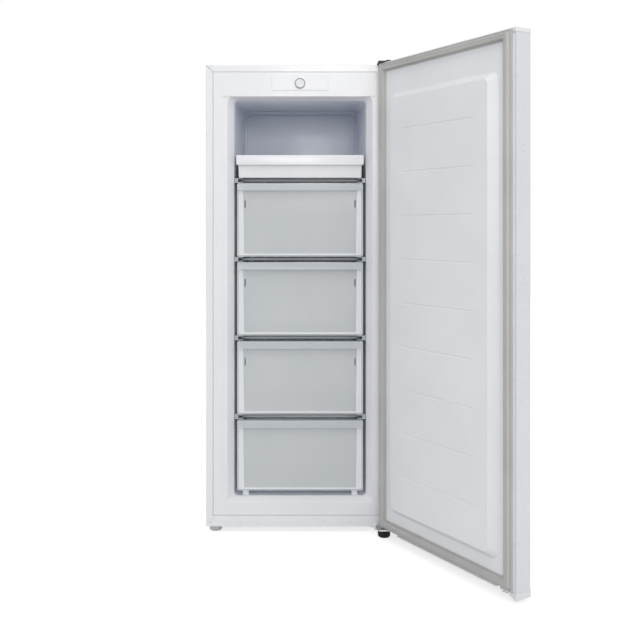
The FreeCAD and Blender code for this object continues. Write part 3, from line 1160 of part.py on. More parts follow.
def filter_drier():
    """Copper drier that hangs on a short pipe from the left-hand condenser coil."""
    r, end = COIL_RADIUS, DRIER_LENGTH
    below = [(r, -end), (r, DRIER_NECK - end), (DRIER_RADIUS, DRIER_SHOULDER - end)]
    above = [(DRIER_RADIUS, -DRIER_SHOULDER), (r, -DRIER_NECK), (r, 0.0)]
    body = turned(V(-DRIER_X, COIL_TAIL_Y, DRIER_TOP), below + above, 12)
    level = (COIL_END + DRIER_TOP) / 2
    route = [V(-COIL_X, COIL_TAIL_Y, COIL_END), V(-COIL_X, COIL_TAIL_Y, level),
             V(-DRIER_X, COIL_TAIL_Y, level), V(-DRIER_X, COIL_TAIL_Y, DRIER_TOP)]
    return Part.makeCompound([body, bent_tube(route, COIL_RADIUS, PIPE_BEND, BACK, 4, 2)])


def capillary_tube(grow=0.0):
    """Thin tube from the drier up the rear insulation to the uppermost shelf."""
    low = DRIER_TOP - DRIER_LENGTH
    level = SHELVES[0]
    turn = low - 2 * PIPE_BEND
    route = [V(-DRIER_X, COIL_TAIL_Y, low), V(-DRIER_X, COIL_TAIL_Y, turn),
             V(-DRIER_X, CAPILLARY_Y, turn), V(-DRIER_X, CAPILLARY_Y, level),
             V(RUN_REACH, CAPILLARY_Y, level), V(RUN_REACH, TUBE_END, level)]
    return bent_tube(route, CAPILLARY_RADIUS + grow, PIPE_BEND, RIGHT, 4, 2)


def cabinet_parts():
    """Nodes that stay with the cabinet."""
    nodes = {
        "cabinet_shell": cabinet_shell(),
        "rear_panel": rear_panel(),
        "bottom_deck": bottom_deck(),
        "front_crossmember": front_crossmember(),
        "side_rails": side_rails(),
        "rear_feet": rear_feet(),
        "corner_screws": corner_screws(),
        "cabinet_foam": cabinet_foam(),
        "inner_liner": inner_liner(),
        "control_plate": control_plate(),
        "thermostat": thermostat(),
        "upper_hinge_bracket": upper_hinge_bracket(),
        "upper_hinge_pin": upper_hinge_pin(),
        "lower_hinge_bracket": lower_hinge_bracket(),
        "lower_hinge_pin": lower_hinge_pin(),
        "hinge_screws": hinge_screws(),
        "hinge_hole_plugs": hinge_hole_plugs(),
        "shelf_clips": shelf_clips(),
        "evaporator_risers": evaporator_risers(),
        "condenser_coil_left": condenser_coil(-1),
        "condenser_coil_right": condenser_coil(1),
        "front_frame_loop": front_frame_loop(),
        "compressor": compressor(),
        "compressor_grommets": compressor_grommets(),
        "compressor_crossbar": compressor_crossbar(),
        "start_relay_cover": start_relay_cover(),
        "cord_gland": cord_gland(),
        "discharge_pipe": discharge_pipe(),
        "suction_pipe": suction_pipe(),
        "filter_drier": filter_drier(),
        "capillary_tube": capillary_tube(),
    }
    for n, level in enumerate(SHELVES, 1):
        nodes[f"evaporator_shelf_{n}"] = Part.makeCompound([shelf_tube(level), *shelf_wires(level)])
    return nodes


def moving_parts():
    """Nodes of the drawers, the tray, the dial and the levelling feet."""
    nodes = {
        "top_tray": top_tray(),
        "thermostat_knob": thermostat_knob(),
        "thermostat_spindle": thermostat_spindle(),
        "front_foot_left": levelling_foot(LEFT_FOOT_X, LEFT_FOOT_Y, BASE - SLIDE_GAP, LEFT_STUD_TOP),
        "front_foot_right": levelling_foot(RIGHT_FOOT_X, RIGHT_FOOT_Y, PLATE_LEVEL - PAD_GAP,
                                           RIGHT_STUD_TOP),
    }
    for n, (level, height) in enumerate(drawer_levels(), 1):
        short = n == len(SHELVES)
        back = SHORT_DRAWER_BACK if short else DRAWER_BACK
        nodes[f"drawer_{n}"] = drawer(level, height, back, not short)
    return nodes


def door_parts():
    """Nodes of the door, in the open pose."""
    nodes = {
        "door_skin": door_skin(),
        "door_foam": door_foam(),
        "door_inner_panel": door_inner_panel(),
        "door_gasket": door_gasket(),
        "door_top_cap": door_top_cap(),
        "door_bottom_cap": door_bottom_cap(),
        "door_bushes": door_bushes(),
    }
    return {name: swung_open(shape) for name, shape in nodes.items()}


if __name__ == "__main__":
    os.makedirs("parts", exist_ok=True)
    for name, shape in {**cabinet_parts(), **moving_parts(), **door_parts()}.items():
        shape.exportStep(f"parts/{name}.step")
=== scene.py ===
import math

import bmesh
import bpy
from mathutils import Matrix, Vector


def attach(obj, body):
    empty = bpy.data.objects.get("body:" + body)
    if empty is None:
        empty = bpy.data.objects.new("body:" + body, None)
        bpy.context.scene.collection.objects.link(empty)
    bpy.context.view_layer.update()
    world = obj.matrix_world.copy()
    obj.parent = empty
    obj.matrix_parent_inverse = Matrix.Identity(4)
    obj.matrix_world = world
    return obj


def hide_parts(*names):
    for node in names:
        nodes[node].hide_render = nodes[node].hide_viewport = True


# Looks of an upright freezer with its door open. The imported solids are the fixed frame.
# Shapes below are drawn in millimetres and turned to metres when a piece is finished.
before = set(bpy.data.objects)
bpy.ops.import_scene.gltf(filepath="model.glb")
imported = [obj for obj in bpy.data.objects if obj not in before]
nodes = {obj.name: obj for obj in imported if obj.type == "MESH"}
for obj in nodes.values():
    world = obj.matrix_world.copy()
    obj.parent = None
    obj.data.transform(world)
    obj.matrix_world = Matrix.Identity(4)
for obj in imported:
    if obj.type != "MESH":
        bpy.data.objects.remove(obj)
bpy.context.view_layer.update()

# ---- cabinet wrapper ----
# One pre-painted steel sheet folded over both sides and the top, with narrow flanges at the
# front and rear. The paint is a smooth white enamel with the faintest orange peel.
SHEET_EDGE = 0.35
ENAMEL = (0.845, 0.848, 0.856, 1.0)
ENAMEL_SHADE = (0.815, 0.82, 0.832, 1.0)
MITRE_LINE, MITRE_WIDTH = 1093.0, 0.9             # height minus distance from the centreline
SEAM_SHADE_GREY = (0.32, 0.32, 0.33, 1.0)
FLANGE_FRONT = 0.4                                # the painted seam shade shows only in front of this y
COAT_ROUGHNESS = 0.12


def feed(tree, entry, value):
    """Give an input a plain value, or the output of another node."""
    if isinstance(value, bpy.types.NodeSocket):
        tree.links.new(value, entry)
    else:
        entry.default_value = value


def node(tree, kind, x, y, **settings):
    made = tree.nodes.new("ShaderNode" + kind)
    made.location = (x, y)
    for key, value in settings.items():
        setattr(made, key, value)
    return made


def reckon(tree, operation, x, y, *values):
    """Math node on numbers or on the outputs of other nodes."""
    made = node(tree, "Math", x, y, operation=operation)
    for entry, value in zip(made.inputs, values):
        feed(tree, entry, value)
    return made.outputs[0]


def noise(tree, where, scale, detail, x, y):
    made = node(tree, "TexNoise", x, y)
    for name, value in (("Vector", where), ("Scale", scale), ("Detail", detail)):
        feed(tree, made.inputs[name], value)
    return made.outputs["Fac"]


def spread(tree, value, low, high, to_low, to_high, x, y):
    made = node(tree, "MapRange", x, y)
    for name, number in (("Value", value), ("From Min", low), ("From Max", high), ("To Min", to_low),
                         ("To Max", to_high)):
        feed(tree, made.inputs[name], number)
    return made.outputs["Result"]


def mixed(tree, kind, share, first, second, x, y):
    made = node(tree, "Mix", x, y, data_type=kind)
    for name, value in (("Factor", share), ("A", first), ("B", second)):
        feed(tree, made.inputs[name], value)
    return made.outputs["Result"]


def place_of(tree, x, y):
    """Object coordinates of a point, one by one."""
    made = node(tree, "SeparateXYZ", x, y)
    tree.links.new(node(tree, "TexCoord", x - 200, y).outputs["Object"], made.inputs["Vector"])
    return made.outputs


def node_group(name, inputs, outputs):
    """Node group with its sockets, and the nodes at its two ends."""
    tree = bpy.data.node_groups.new(name, "ShaderNodeTree")
    for direction, sockets in (("INPUT", inputs), ("OUTPUT", outputs)):
        for kind, label, *value in sockets:
            item = tree.interface.new_socket(name=label, in_out=direction, socket_type="NodeSocket" + kind)
            if value:
                item.default_value = value[0]
    given = tree.nodes.new("NodeGroupInput")
    given.location = (-900, 0)
    result = tree.nodes.new("NodeGroupOutput")
    result.location = (600, 0)
    return tree, given.outputs, result.inputs


FINISH = (("Color", "Colour"), ("Float", "Roughness"), ("Vector", "Normal"))


def moulded_finish_group():
    """Cloudy colour, uneven gloss and a fine skin, for paint, plastic and rubber."""
    tree, given, result = node_group("moulded_finish", (
        ("Color", "Colour", (0.8, 0.8, 0.8, 1.0)), ("Color", "Shade", (0.7, 0.7, 0.7, 1.0)),
        ("Float", "Grain", 900.0), ("Float", "Relief", 0.05), ("Float", "Gloss low", 0.3),
        ("Float", "Gloss high", 0.4)), FINISH)
    where = node(tree, "TexCoord", -900, -300).outputs["Object"]
    share = spread(tree, noise(tree, where, 7.0, 2.0, -600, 200), 0.35, 0.65, 0.0, 1.0, -350, 200)
    colour = mixed(tree, "RGBA", share, given["Colour"], given["Shade"], 0, 200)
    gloss = spread(tree, noise(tree, where, 38.0, 3.0, -600, -50), 0.3, 0.7, given["Gloss low"],
                   given["Gloss high"], -350, -50)
    bump = node(tree, "Bump", 0, -300)
    bump.inputs["Distance"].default_value = 0.0004
    feed(tree, bump.inputs["Strength"], given["Relief"])
    feed(tree, bump.inputs["Height"], noise(tree, where, given["Grain"], 2.0, -600, -300))
    feed(tree, result["Colour"], colour)
    feed(tree, result["Roughness"], gloss)
    feed(tree, result["Normal"], bump.outputs["Normal"])
    return tree


moulded_finish = moulded_finish_group()


def shader_of(name):
    material = bpy.data.materials.new(name)
    material.use_nodes = True
    return material, material.node_tree, material.node_tree.nodes["Principled BSDF"]


def grouped(name, group, values):
    """Material whose colour, roughness and normal come from a node group."""
    material, tree, shader = shader_of(name)
    finish = tree.nodes.new("ShaderNodeGroup")
    finish.node_tree = group
    finish.location = (-300, 0)
    for key, value in values.items():
        finish.inputs[key].default_value = value
    for output, entry in (("Colour", "Base Color"), ("Roughness", "Roughness"), ("Normal", "Normal")):
        tree.links.new(finish.outputs[output], shader.inputs[entry])
    return material, shader


def moulded(name, colour, shade, grain, relief, gloss, specular=0.5, coat=0.0):
    """Material of paint, plastic or rubber with the moulded finish."""
    material, shader = grouped(name, moulded_finish, {
        "Colour": colour, "Shade": shade, "Grain": grain, "Relief": relief, "Gloss low": gloss[0],
        "Gloss high": gloss[1]})
    shader.inputs["Specular IOR Level"].default_value = specular
    shader.inputs["Coat Weight"].default_value = coat
    shader.inputs["Coat Roughness"].default_value = COAT_ROUGHNESS
    return material


def carried_over(name, material, edge=0.0, segments=2, limit=35):
    """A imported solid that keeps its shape: it gets its material and softly broken edges."""
    piece = nodes[name]
    piece.data.materials.clear()
    piece.data.materials.append(material)
    weld = piece.modifiers.new("joined faces", "WELD")
    weld.merge_threshold = 0.000002
    if edge:
        flat = piece.modifiers.new("whole flats", "DECIMATE")
        flat.decimate_type = "DISSOLVE"
        flat.angle_limit = math.radians(1.0)
        broken = piece.modifiers.new("broken edges", "BEVEL")
        broken.width = edge * 0.001
        broken.segments = segments
        broken.limit_method = "ANGLE"
        broken.angle_limit = math.radians(limit)
        broken.use_clamp_overlap = True
    return piece


def seam_shade_group():
    """Painted shade: a thin grey line where the front flanges of the side and the top meet at 45 degrees,
    standing for the shade in the narrow mitre gap.
    """
    tree, given, result = node_group("mitre_seam_shade", (("Color", "Colour", (0.8, 0.8, 0.8, 1.0)),),
                                     (("Color", "Colour"),))
    place = place_of(tree, -1100, 300)
    side = reckon(tree, "ABSOLUTE", -800, 300, place["X"])
    slant = reckon(tree, "SUBTRACT", -600, 300, place["Z"], side)
    line = reckon(tree, "COMPARE", -400, 300, slant, MITRE_LINE * 0.001, MITRE_WIDTH * 0.001)
    front = reckon(tree, "LESS_THAN", -400, 100, place["Y"], FLANGE_FRONT * 0.001)
    both = reckon(tree, "MULTIPLY", -200, 200, line, front)
    feed(tree, result["Colour"], mixed(tree, "RGBA", both, given["Colour"], SEAM_SHADE_GREY, 100, 0))
    return tree


white_enamel = moulded("white_enamel", ENAMEL, ENAMEL_SHADE, 620.0, 0.012, (0.26, 0.34), coat=0.25)
shell_enamel = moulded("shell_enamel", ENAMEL, ENAMEL_SHADE, 620.0, 0.012, (0.26, 0.34), coat=0.25)
# The shell's enamel gets a grey line of painted shade along the mitre seams.
tree = shell_enamel.node_tree
paint = tree.nodes["Principled BSDF"].inputs["Base Color"]
seam = tree.nodes.new("ShaderNodeGroup")
seam.node_tree = seam_shade_group()
tree.links.new(paint.links[0].from_socket, seam.inputs["Colour"])
tree.links.new(seam.outputs["Colour"], paint)
carried_over("cabinet_shell", shell_enamel, SHEET_EDGE, limit=50)
carried_over("rear_panel", white_enamel, 0.2)
carried_over("front_crossmember", white_enamel, 0.3)

# ---- foam, deck and rails ----
# Polyurethane foam is blown between wrapper and liner and glues the cabinet together. The
# stepped deck, the rails and the compressor's crossbar are bare galvanised sheet, folded
# and screwed.
FOAM = (0.70, 0.60, 0.36, 1.0)
FOAM_SHADE = (0.62, 0.50, 0.27, 1.0)
ZINC_DARK, ZINC_LIGHT = (0.40, 0.42, 0.44, 1.0), (0.60, 0.62, 0.64, 1.0)
SPANGLE = 75.0


def bare_metal_group():
    """Bare metal: crystal patches or fine scratches, with a gloss that follows them."""
    tree, given, result = node_group("bare_metal", (
        ("Color", "Dark", (0.4, 0.4, 0.4, 1.0)), ("Color", "Light", (0.6, 0.6, 0.6, 1.0)),
        ("Float", "Patch", 75.0), ("Float", "Gloss low", 0.3), ("Float", "Gloss high", 0.5)), FINISH)
    where = node(tree, "TexCoord", -900, -300).outputs["Object"]
    crystals = node(tree, "TexVoronoi", -600, 200)
    feed(tree, crystals.inputs["Vector"], where)
    feed(tree, crystals.inputs["Scale"], given["Patch"])
    share = node(tree, "SeparateColor", -350, 200)
    feed(tree, share.inputs["Color"], crystals.outputs["Color"])
    colour = mixed(tree, "RGBA", share.outputs["Red"], given["Dark"], given["Light"], 0, 200)
    gloss = spread(tree, share.outputs["Green"], 0.0, 1.0, given["Gloss low"], given["Gloss high"], 0, -50)
    drawn = node(tree, "Mapping", -600, -300)
    drawn.inputs["Scale"].default_value = (1.0, 30.0, 30.0)
    feed(tree, drawn.inputs["Vector"], where)
    bump = node(tree, "Bump", 0, -300)
    bump.inputs["Strength"].default_value = 0.12
    bump.inputs["Distance"].default_value = 0.0002
    feed(tree, bump.inputs["Height"], noise(tree, drawn.outputs["Vector"], 60.0, 3.0, -350, -300))
    feed(tree, result["Colour"], colour)
    feed(tree, result["Roughness"], gloss)
    feed(tree, result["Normal"], bump.outputs["Normal"])
    return tree


bare_metal = bare_metal_group()


def metal(name, dark, light, patch, gloss):
    """Material of bare metal."""
    material, shader = grouped(name, bare_metal, {
        "Dark": dark, "Light": light, "Patch": patch, "Gloss low": gloss[0], "Gloss high": gloss[1]})
    shader.inputs["Metallic"].default_value = 1.0
    return material


foam = moulded("insulation_foam", FOAM, FOAM_SHADE, 240.0, 0.6, (0.85, 0.95), specular=0.2)
galvanised = metal("galvanised_sheet", ZINC_DARK, ZINC_LIGHT, SPANGLE, (0.32, 0.52))
carried_over("cabinet_foam", foam)
carried_over("bottom_deck", galvanised, 0.3)
carried_over("side_rails", galvanised, 0.3)
carried_over("compressor_crossbar", galvanised, 0.4)

# ---- inner liner ----
# Vacuum-formed white polystyrene, drawn over a mould in one sheet: flat front face, shallow
# side rebates, sloped jamb, walls with soft corners, raised rear panel, step over the
# compressor and two floor rails.
FACE = (254.8, 50.2, 1347.8)                      # half width, bottom and top of the flat front face
REBATE = (200.0, 225.0, 105.0, 1277.0)            # inner and outer x, bottom and top
REBATE_DEPTH = 3.0
MOUTH = (231.8, 73.9, 1284.0)                     # where the sloped jamb would meet y = -20
MOUTH_Y = -20.0
THROAT = (194.0, 101.0, 1266.0)
REAR = (189.0, 101.0, 1284.0)
THROAT_Y, REAR_Y = 25.0, 405.0
RAISED = (181.0, 235.0, 1271.0)
RAISED_Y = 400.0
STEP = ((240.0, 60.0), (252.0, 271.0), (276.0, 295.0), (440.0, 295.0), (440.0, 60.0))
FLOOR_RAIL = (152.0, 170.0)
RAIL_SIDE = ((33.0, 90.0), (33.0, 116.0), (262.0, 116.0), (262.0, 90.0))
EDGE_ROLL = ((2.0, 0.0), (1.8, 0.9), (0.6, 0.9), (0.0, 1.5))         # depth and inset of the edge
LINER_WALL, LINER_BEND = 1.6, 2.4
SHADE_FROM, SHADE_TO = 18.0, 60.0                    # the painted bluish shade of the deep inside sets in over these y
PAINTED_DEEP_SHADE = (0.80, 0.835, 0.93, 1.0)
WHITE = (0.84, 0.843, 0.85, 1.0)
WHITE_SHADE = (0.81, 0.815, 0.828, 1.0)
LOOP_SHIFT = 500.0                                # sets flat loops apart while they are joined


def rounded_loop(bm, plane, level, low, high, radius, segments=6):
    """Closed loop of edges round a rectangle with round corners, in a level or a front plane."""
    outline = bmesh.new()
    corners = ((low[0], low[1]), (high[0], low[1]), (high[0], high[1]), (low[0], high[1]))
    points = [Vector((a, level, b)) if plane == "front" else Vector((a, b, level)) for a, b in corners]
    outline.faces.new([outline.verts.new(p) for p in points])
    if radius:
        bmesh.ops.bevel(outline, geom=outline.verts[:], offset=radius, offset_type="OFFSET",
                        segments=segments, profile=0.5, affect="VERTICES", clamp_overlap=False, material=-1)
    outline.faces.ensure_lookup_table()
    verts = [bm.verts.new(v.co) for v in outline.faces[0].verts]
    outline.free()
    return [bm.edges.new((a, b)) for a, b in zip(verts, verts[1:] + verts[:1])]


def centred_loop(bm, y, shape, radius, segments=6):
    half, bottom, top = shape
    return rounded_loop(bm, "front", y, (-half, bottom), (half, top), radius, segments)


def skin(bm, near, far):
    """Strip of faces between two closed loops, also where both lie in one plane."""
    ends = list({v for e in far for v in e.verts})
    spans = [max(v.co[a] for v in ends) - min(v.co[a] for v in ends) for a in range(3)]
    away = Vector([LOOP_SHIFT if a == spans.index(min(spans)) else 0.0 for a in range(3)])
    bmesh.ops.translate(bm, verts=ends, vec=away)
    bmesh.ops.bridge_loops(bm, edges=near + far)
    bmesh.ops.translate(bm, verts=ends, vec=-away)


def loft(bm, loops, first=True, last=True):
    """Skin through loops in order, with a flat end where one is wanted."""
    for near, far in zip(loops, loops[1:]):
        skin(bm, near, far)
    for loop, closed in ((loops[0], first), (loops[-1], last)):
        if closed:
            bmesh.ops.contextual_create(bm, geom=loop)


def round_off(bm, edges, width, segments=3):
    bmesh.ops.bevel(bm, geom=edges, offset=width, offset_type="OFFSET", segments=segments, profile=0.5,
                    affect="EDGES", clamp_overlap=True, material=-1)


def soften(bm, loops, width, segments=3):
    """Round the edges of some loops."""
    round_off(bm, [e for loop in loops for e in loop if e.is_valid], width, segments)


def sharp_edges(bm, angle):
    return [e for e in bm.edges if len(e.link_faces) == 2 and e.calc_face_angle() > angle]


def block(bm, x, y, z):
    """Box between a low and a high value along each axis."""
    made = bmesh.ops.create_cube(bm, size=1.0)["verts"]
    size = Vector((x[1] - x[0], y[1] - y[0], z[1] - z[0]))
    middle = Vector((x[1] + x[0], y[1] + y[0], z[1] + z[0])) / 2
    bmesh.ops.scale(bm, vec=size, verts=made)
    bmesh.ops.translate(bm, vec=middle, verts=made)
    return made


def worked(bm, tool, operation):
    """Join a tool shape to a shape, or take it away, and return the result."""
    pair = []
    for shape in (bm, tool):
        bmesh.ops.recalc_face_normals(shape, faces=shape.faces)
        mesh = bpy.data.meshes.new("blank")
        shape.to_mesh(mesh)
        shape.free()
        pair.append(bpy.data.objects.new("blank", mesh))
        bpy.context.scene.collection.objects.link(pair[-1])
    step = pair[0].modifiers.new("work", "BOOLEAN")
    step.operation = operation
    step.solver = "EXACT"
    step.object = pair[1]
    bpy.context.view_layer.update()
    mesh = bpy.data.meshes.new_from_object(pair[0].evaluated_get(bpy.context.evaluated_depsgraph_get()))
    result = bmesh.new()
    result.from_mesh(mesh)
    bmesh.ops.remove_doubles(result, verts=result.verts, dist=0.001)
    for blank in pair:
        bpy.data.meshes.remove(blank.data)
    bpy.data.meshes.remove(mesh)
    return result


def finished(name, bm, body, materials, stands_for, sharp=32, turn_out=True):
    """Turn a shape in millimetres into a piece of the freezer."""
    bmesh.ops.scale(bm, vec=(0.001, 0.001, 0.001), verts=bm.verts)
    if turn_out:
        bmesh.ops.recalc_face_normals(bm, faces=bm.faces)
    mesh = bpy.data.meshes.new(name)
    bm.to_mesh(mesh)
    bm.free()
    for material in materials:
        mesh.materials.append(material)
    mesh.shade_smooth()
    mesh.set_sharp_from_angle(angle=math.radians(sharp))
    piece = bpy.data.objects.new(name, mesh)
    bpy.context.scene.collection.objects.link(piece)
    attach(piece, body)
    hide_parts(*stands_for)
    return piece


white_styrene = moulded("white_styrene", WHITE, WHITE_SHADE, 480.0, 0.014, (0.30, 0.42), coat=0.1)
liner_styrene_painted_shade = moulded("liner_styrene_painted_shade", WHITE, WHITE_SHADE, 480.0, 0.014, (0.30, 0.42), coat=0.1)
# Deeper inside, the liner's colour turns bluish grey: painted shade of the compartment, not a colour of the
# styrene.
tree = liner_styrene_painted_shade.node_tree
liner_colour = tree.nodes["Principled BSDF"].inputs["Base Color"]
depth = spread(tree, place_of(tree, -900, 300)["Y"], SHADE_FROM * 0.001, SHADE_TO * 0.001, 0.0, 1.0, -700, 300)
painted_shade_colour = mixed(tree, "RGBA", depth, liner_colour.links[0].from_socket, PAINTED_DEEP_SHADE, -300, 300)
tree.links.new(painted_shade_colour, liner_colour)


def side_cut(outline, left, right):
    """Solid with a given outline in side view, from one x to another."""
    tool = bmesh.new()
    face = tool.faces.new([tool.verts.new((left, y, z)) for y, z in outline])
    grown = bmesh.ops.extrude_face_region(tool, geom=[face])["geom"]
    far = [v for v in grown if isinstance(v, bmesh.types.BMVert)]
    bmesh.ops.translate(tool, vec=(right - left, 0, 0), verts=far)
    return tool


def liner_shape():
    room = bmesh.new()
    loft(room, [centred_loop(room, MOUTH_Y, MOUTH, 16.0), centred_loop(room, THROAT_Y, THROAT, 10.0),
                centred_loop(room, REAR_Y, REAR, 10.0)])
    room = worked(room, side_cut(STEP, -260.0, 260.0), "DIFFERENCE")
    raised = bmesh.new()
    loft(raised, [centred_loop(raised, y, RAISED, 13.0) for y in (RAISED_Y, REAR_Y + 20)])
    room = worked(room, raised, "DIFFERENCE")
    for side in (-1, 1):
        room = worked(room, side_cut(RAIL_SIDE, *sorted(side * x for x in FLOOR_RAIL)), "DIFFERENCE")
        rebate = bmesh.new()
        block(rebate, sorted(side * x for x in REBATE[:2]), (MOUTH_Y, REBATE_DEPTH), REBATE[2:])
        room = worked(room, rebate, "UNION")
    bmesh.ops.bisect_plane(room, geom=room.verts[:] + room.edges[:] + room.faces[:], dist=0.001,
                           plane_co=(0, 0, 0), plane_no=(0, -1, 0), clear_outer=True)
    bends = [e for e in sharp_edges(room, math.radians(28))
             if min(v.co.y for v in e.verts) > REBATE_DEPTH + 1.0]
    round_off(room, bends, LINER_BEND)
    mouth = [e for e in room.edges if e.is_boundary]
    turned = [centred_loop(room, y, (FACE[0] - inset, FACE[1] + inset, FACE[2] - inset), 1.5)
              for y, inset in EDGE_ROLL]
    loft(room, turned, False, False)
    bmesh.ops.triangle_fill(room, use_beauty=True, edges=turned[-1] + mouth)
    bmesh.ops.recalc_face_normals(room, faces=room.faces)
    if min(room.faces, key=lambda f: f.calc_center_median().y).normal.y > 0:
        bmesh.ops.reverse_faces(room, faces=room.faces)
    return room


liner = finished("inner_liner_formed", liner_shape(), "cabinet", [liner_styrene_painted_shade],
                 ["inner_liner"], sharp=24, turn_out=False)
wall = liner.modifiers.new("sheet thickness", "SOLIDIFY")
wall.thickness = LINER_WALL * 0.001
wall.offset = -1.0

# ---- evaporator shelves ----
# Each cold shelf is one steel tube bent back and forth in an unbroken serpentine, with wires
# spot welded across its top and underside, all coated grey. Risers behind the drawers join
# each shelf to the next, and light plastic clips hold the shelves on the side walls.
SHELF_LEVELS = (1031.0, 798.5, 566.0, 333.5)
TUBE, TUBE_BEND = 4.0, 25.0
TUBE_SIDES, BEND_STEPS = 3, 6
RUN_FRONT, RUN_STEP, RUNS = 32.0, 50.0, 7
RUN_SIDE, RUN_RETURN, TUBE_REAR = 178.0, 155.0, 372.0
WIRE, WIRES, WIRE_STEP = 1.5, 9, 35.0
WIRE_Y = (24.0, 340.0)
RISER_Y = 386.0
COATED = (0.34, 0.355, 0.375, 1.0)
COATED_SHADE = (0.29, 0.305, 0.325, 1.0)
# The light plastic clips are given a mid grey: painted shade of the inside of the compartment.
CLIP_IN_SHADE = (0.42, 0.45, 0.47, 1.0)
CLIP_IN_SHADE_TONE = (0.37, 0.40, 0.43, 1.0)


def bent_tube(bm, route, radius, bend):
    """Tube along straight runs with arc bends, drawn as a curve with handles at each bend."""
    points = []
    route = [Vector(p) for p in route]
    for before, corner, after in zip(route, route[1:], route[2:]):
        heading, leaving = (corner - before).normalized(), (after - corner).normalized()
        turn = heading.angle(leaving)
        reach = bend * math.tan(turn / 2)
        handle = 4 / 3 * math.tan(turn / 4) * bend
        start, end = corner - heading * reach, corner + leaving * reach
        if points and (points[-1][1] - start).length < 0.01:
            points[-1] = (points[-1][0], points[-1][1], start + heading * handle)
        else:
            points.append((start - heading * 0.3, start, start + heading * handle))
        points.append((end - leaving * handle, end, end + leaving * 0.3))
    points.insert(0, (route[0], route[0], route[0]))
    points.append((route[-1], route[-1], route[-1]))
    line = bpy.data.curves.new("tube line", "CURVE")
    line.dimensions = "3D"
    line.bevel_depth = radius
    line.bevel_resolution = TUBE_SIDES
    line.resolution_u = BEND_STEPS
    line.use_fill_caps = True
    path = line.splines.new("BEZIER")
    path.bezier_points.add(len(points) - 1)
    for knot, (left, place, right) in zip(path.bezier_points, points):
        knot.handle_left_type = knot.handle_right_type = "FREE"
        knot.handle_left, knot.co, knot.handle_right = left, place, right
    holder = bpy.data.objects.new("tube line", line)
    mesh = bpy.data.meshes.new_from_object(holder)
    bm.from_mesh(mesh)
    bpy.data.objects.remove(holder)
    bpy.data.curves.remove(line)
    bpy.data.meshes.remove(mesh)


def bar(bm, start, end, radius, sides=8, taper=None):
    """Straight round bar between two points."""
    start, end = Vector(start), Vector(end)
    along = end - start
    made = bmesh.ops.create_cone(bm, cap_ends=True, segments=sides, radius1=radius,
                                 radius2=radius if taper is None else taper, depth=along.length)["verts"]
    turn = Vector((0, 0, 1)).rotation_difference(along).to_matrix()
    bmesh.ops.rotate(bm, verts=made, cent=(0, 0, 0), matrix=turn)
    bmesh.ops.translate(bm, verts=made, vec=(start + end) / 2)
    return made


def shelf_route(level):
    route = [(-RUN_SIDE, TUBE_REAR, level)]
    for n in range(RUNS):
        y = RUN_FRONT + RUN_STEP * n
        left = -RUN_SIDE if n == 0 else -RUN_RETURN
        ends = (left, RUN_SIDE) if n % 2 == 0 else (RUN_SIDE, left)
        route += [(x, y, level) for x in ends]
    route.append((RUN_SIDE, TUBE_REAR, level))
    return route


grey_coat = moulded("grey_coated_tube", COATED, COATED_SHADE, 700.0, 0.05, (0.30, 0.42), coat=0.3)
for number, level in enumerate(SHELF_LEVELS, 1):
    shelf = bmesh.new()
    bent_tube(shelf, shelf_route(level), TUBE, TUBE_BEND)
    for n in range(WIRES):
        x = WIRE_STEP * (n - (WIRES - 1) / 2)
        for z in (level - TUBE - WIRE, level + TUBE + WIRE):
            bar(shelf, (x, WIRE_Y[0], z), (x, WIRE_Y[1], z), WIRE)
    finished(f"cold_shelf_{number}", shelf, "cabinet", [grey_coat],
             [f"evaporator_shelf_{number}"])
risers = bmesh.new()
for n, (upper, lower) in enumerate(zip(SHELF_LEVELS, SHELF_LEVELS[1:])):
    x = -RUN_SIDE if n % 2 == 0 else RUN_SIDE
    route = [(x, TUBE_REAR, upper), (x, RISER_Y, upper), (x, RISER_Y, lower), (x, TUBE_REAR, lower)]
    bent_tube(risers, route, TUBE, RISER_Y - TUBE_REAR - 1.0)
finished("shelf_risers", risers, "cabinet", [grey_coat], ["evaporator_risers"])
clip_plastic_painted_shade = moulded("clip_plastic_painted_shade", CLIP_IN_SHADE, CLIP_IN_SHADE_TONE, 500.0, 0.05, (0.35, 0.5))
carried_over("shelf_clips", clip_plastic_painted_shade, 1.2, 3)

# ---- drawers ----
# Injection-moulded clear polystyrene with a cool grey-green tint: a drafted tub, a rim, a flat
# front with a raised bead down both sides and along the foot, a hooked grip and two slots.
DRAWER_HALF, TUB_HALF, TUB_DRAFT = 186.0, 180.0, 6.0
DRAWER_Y, GRIP_Y = 22.0, 8.5
DRAWERS = ((805.8, 1023.0, 362.0, True), (573.3, 790.5, 362.0, True), (340.8, 558.0, 362.0, True),
           (116.3, 325.5, 230.0, False))
TUB_WALL, RIM, GRIP_DROP = 2.4, 4.0, 22.0
BEAD_INSET, BEAD_SIDE, BEAD_SIDE_TOP, BEAD_FOOT, BEAD_PROUD = 4.6, 17.0, 14.0, 5.0, 0.9
SLOT_X, SLOT_HALF, SLOT_TOP, SLOT_FOOT = 162.0, 1.5, 50.0, 73.0
TINT = (0.87, 0.90, 0.91, 1.0)
TINT_SHADE = (0.84, 0.875, 0.89, 1.0)
# Brighter, more opaque copy of the same clear plastic: painted highlight on the raised bead.
HIGHLIGHT_TINT = (0.90, 0.92, 0.93, 1.0)
HIGHLIGHT_TINT_SHADE = (0.87, 0.89, 0.905, 1.0)
# Darker copy of the same clear plastic: painted shade on the hooked grip.
GRIP_SHADE_TINT = (0.70, 0.735, 0.755, 1.0)
CLEAR, HIGHLIGHT_CLEAR, GRIP_SHADE_CLEAR = 0.49, 0.85, 0.55


def clear_plastic(name, colour, shade, cover):
    material = moulded(name, colour, shade, 60.0, 0.02, (0.10, 0.20))
    material.node_tree.nodes["Principled BSDF"].inputs["Alpha"].default_value = cover
    return material


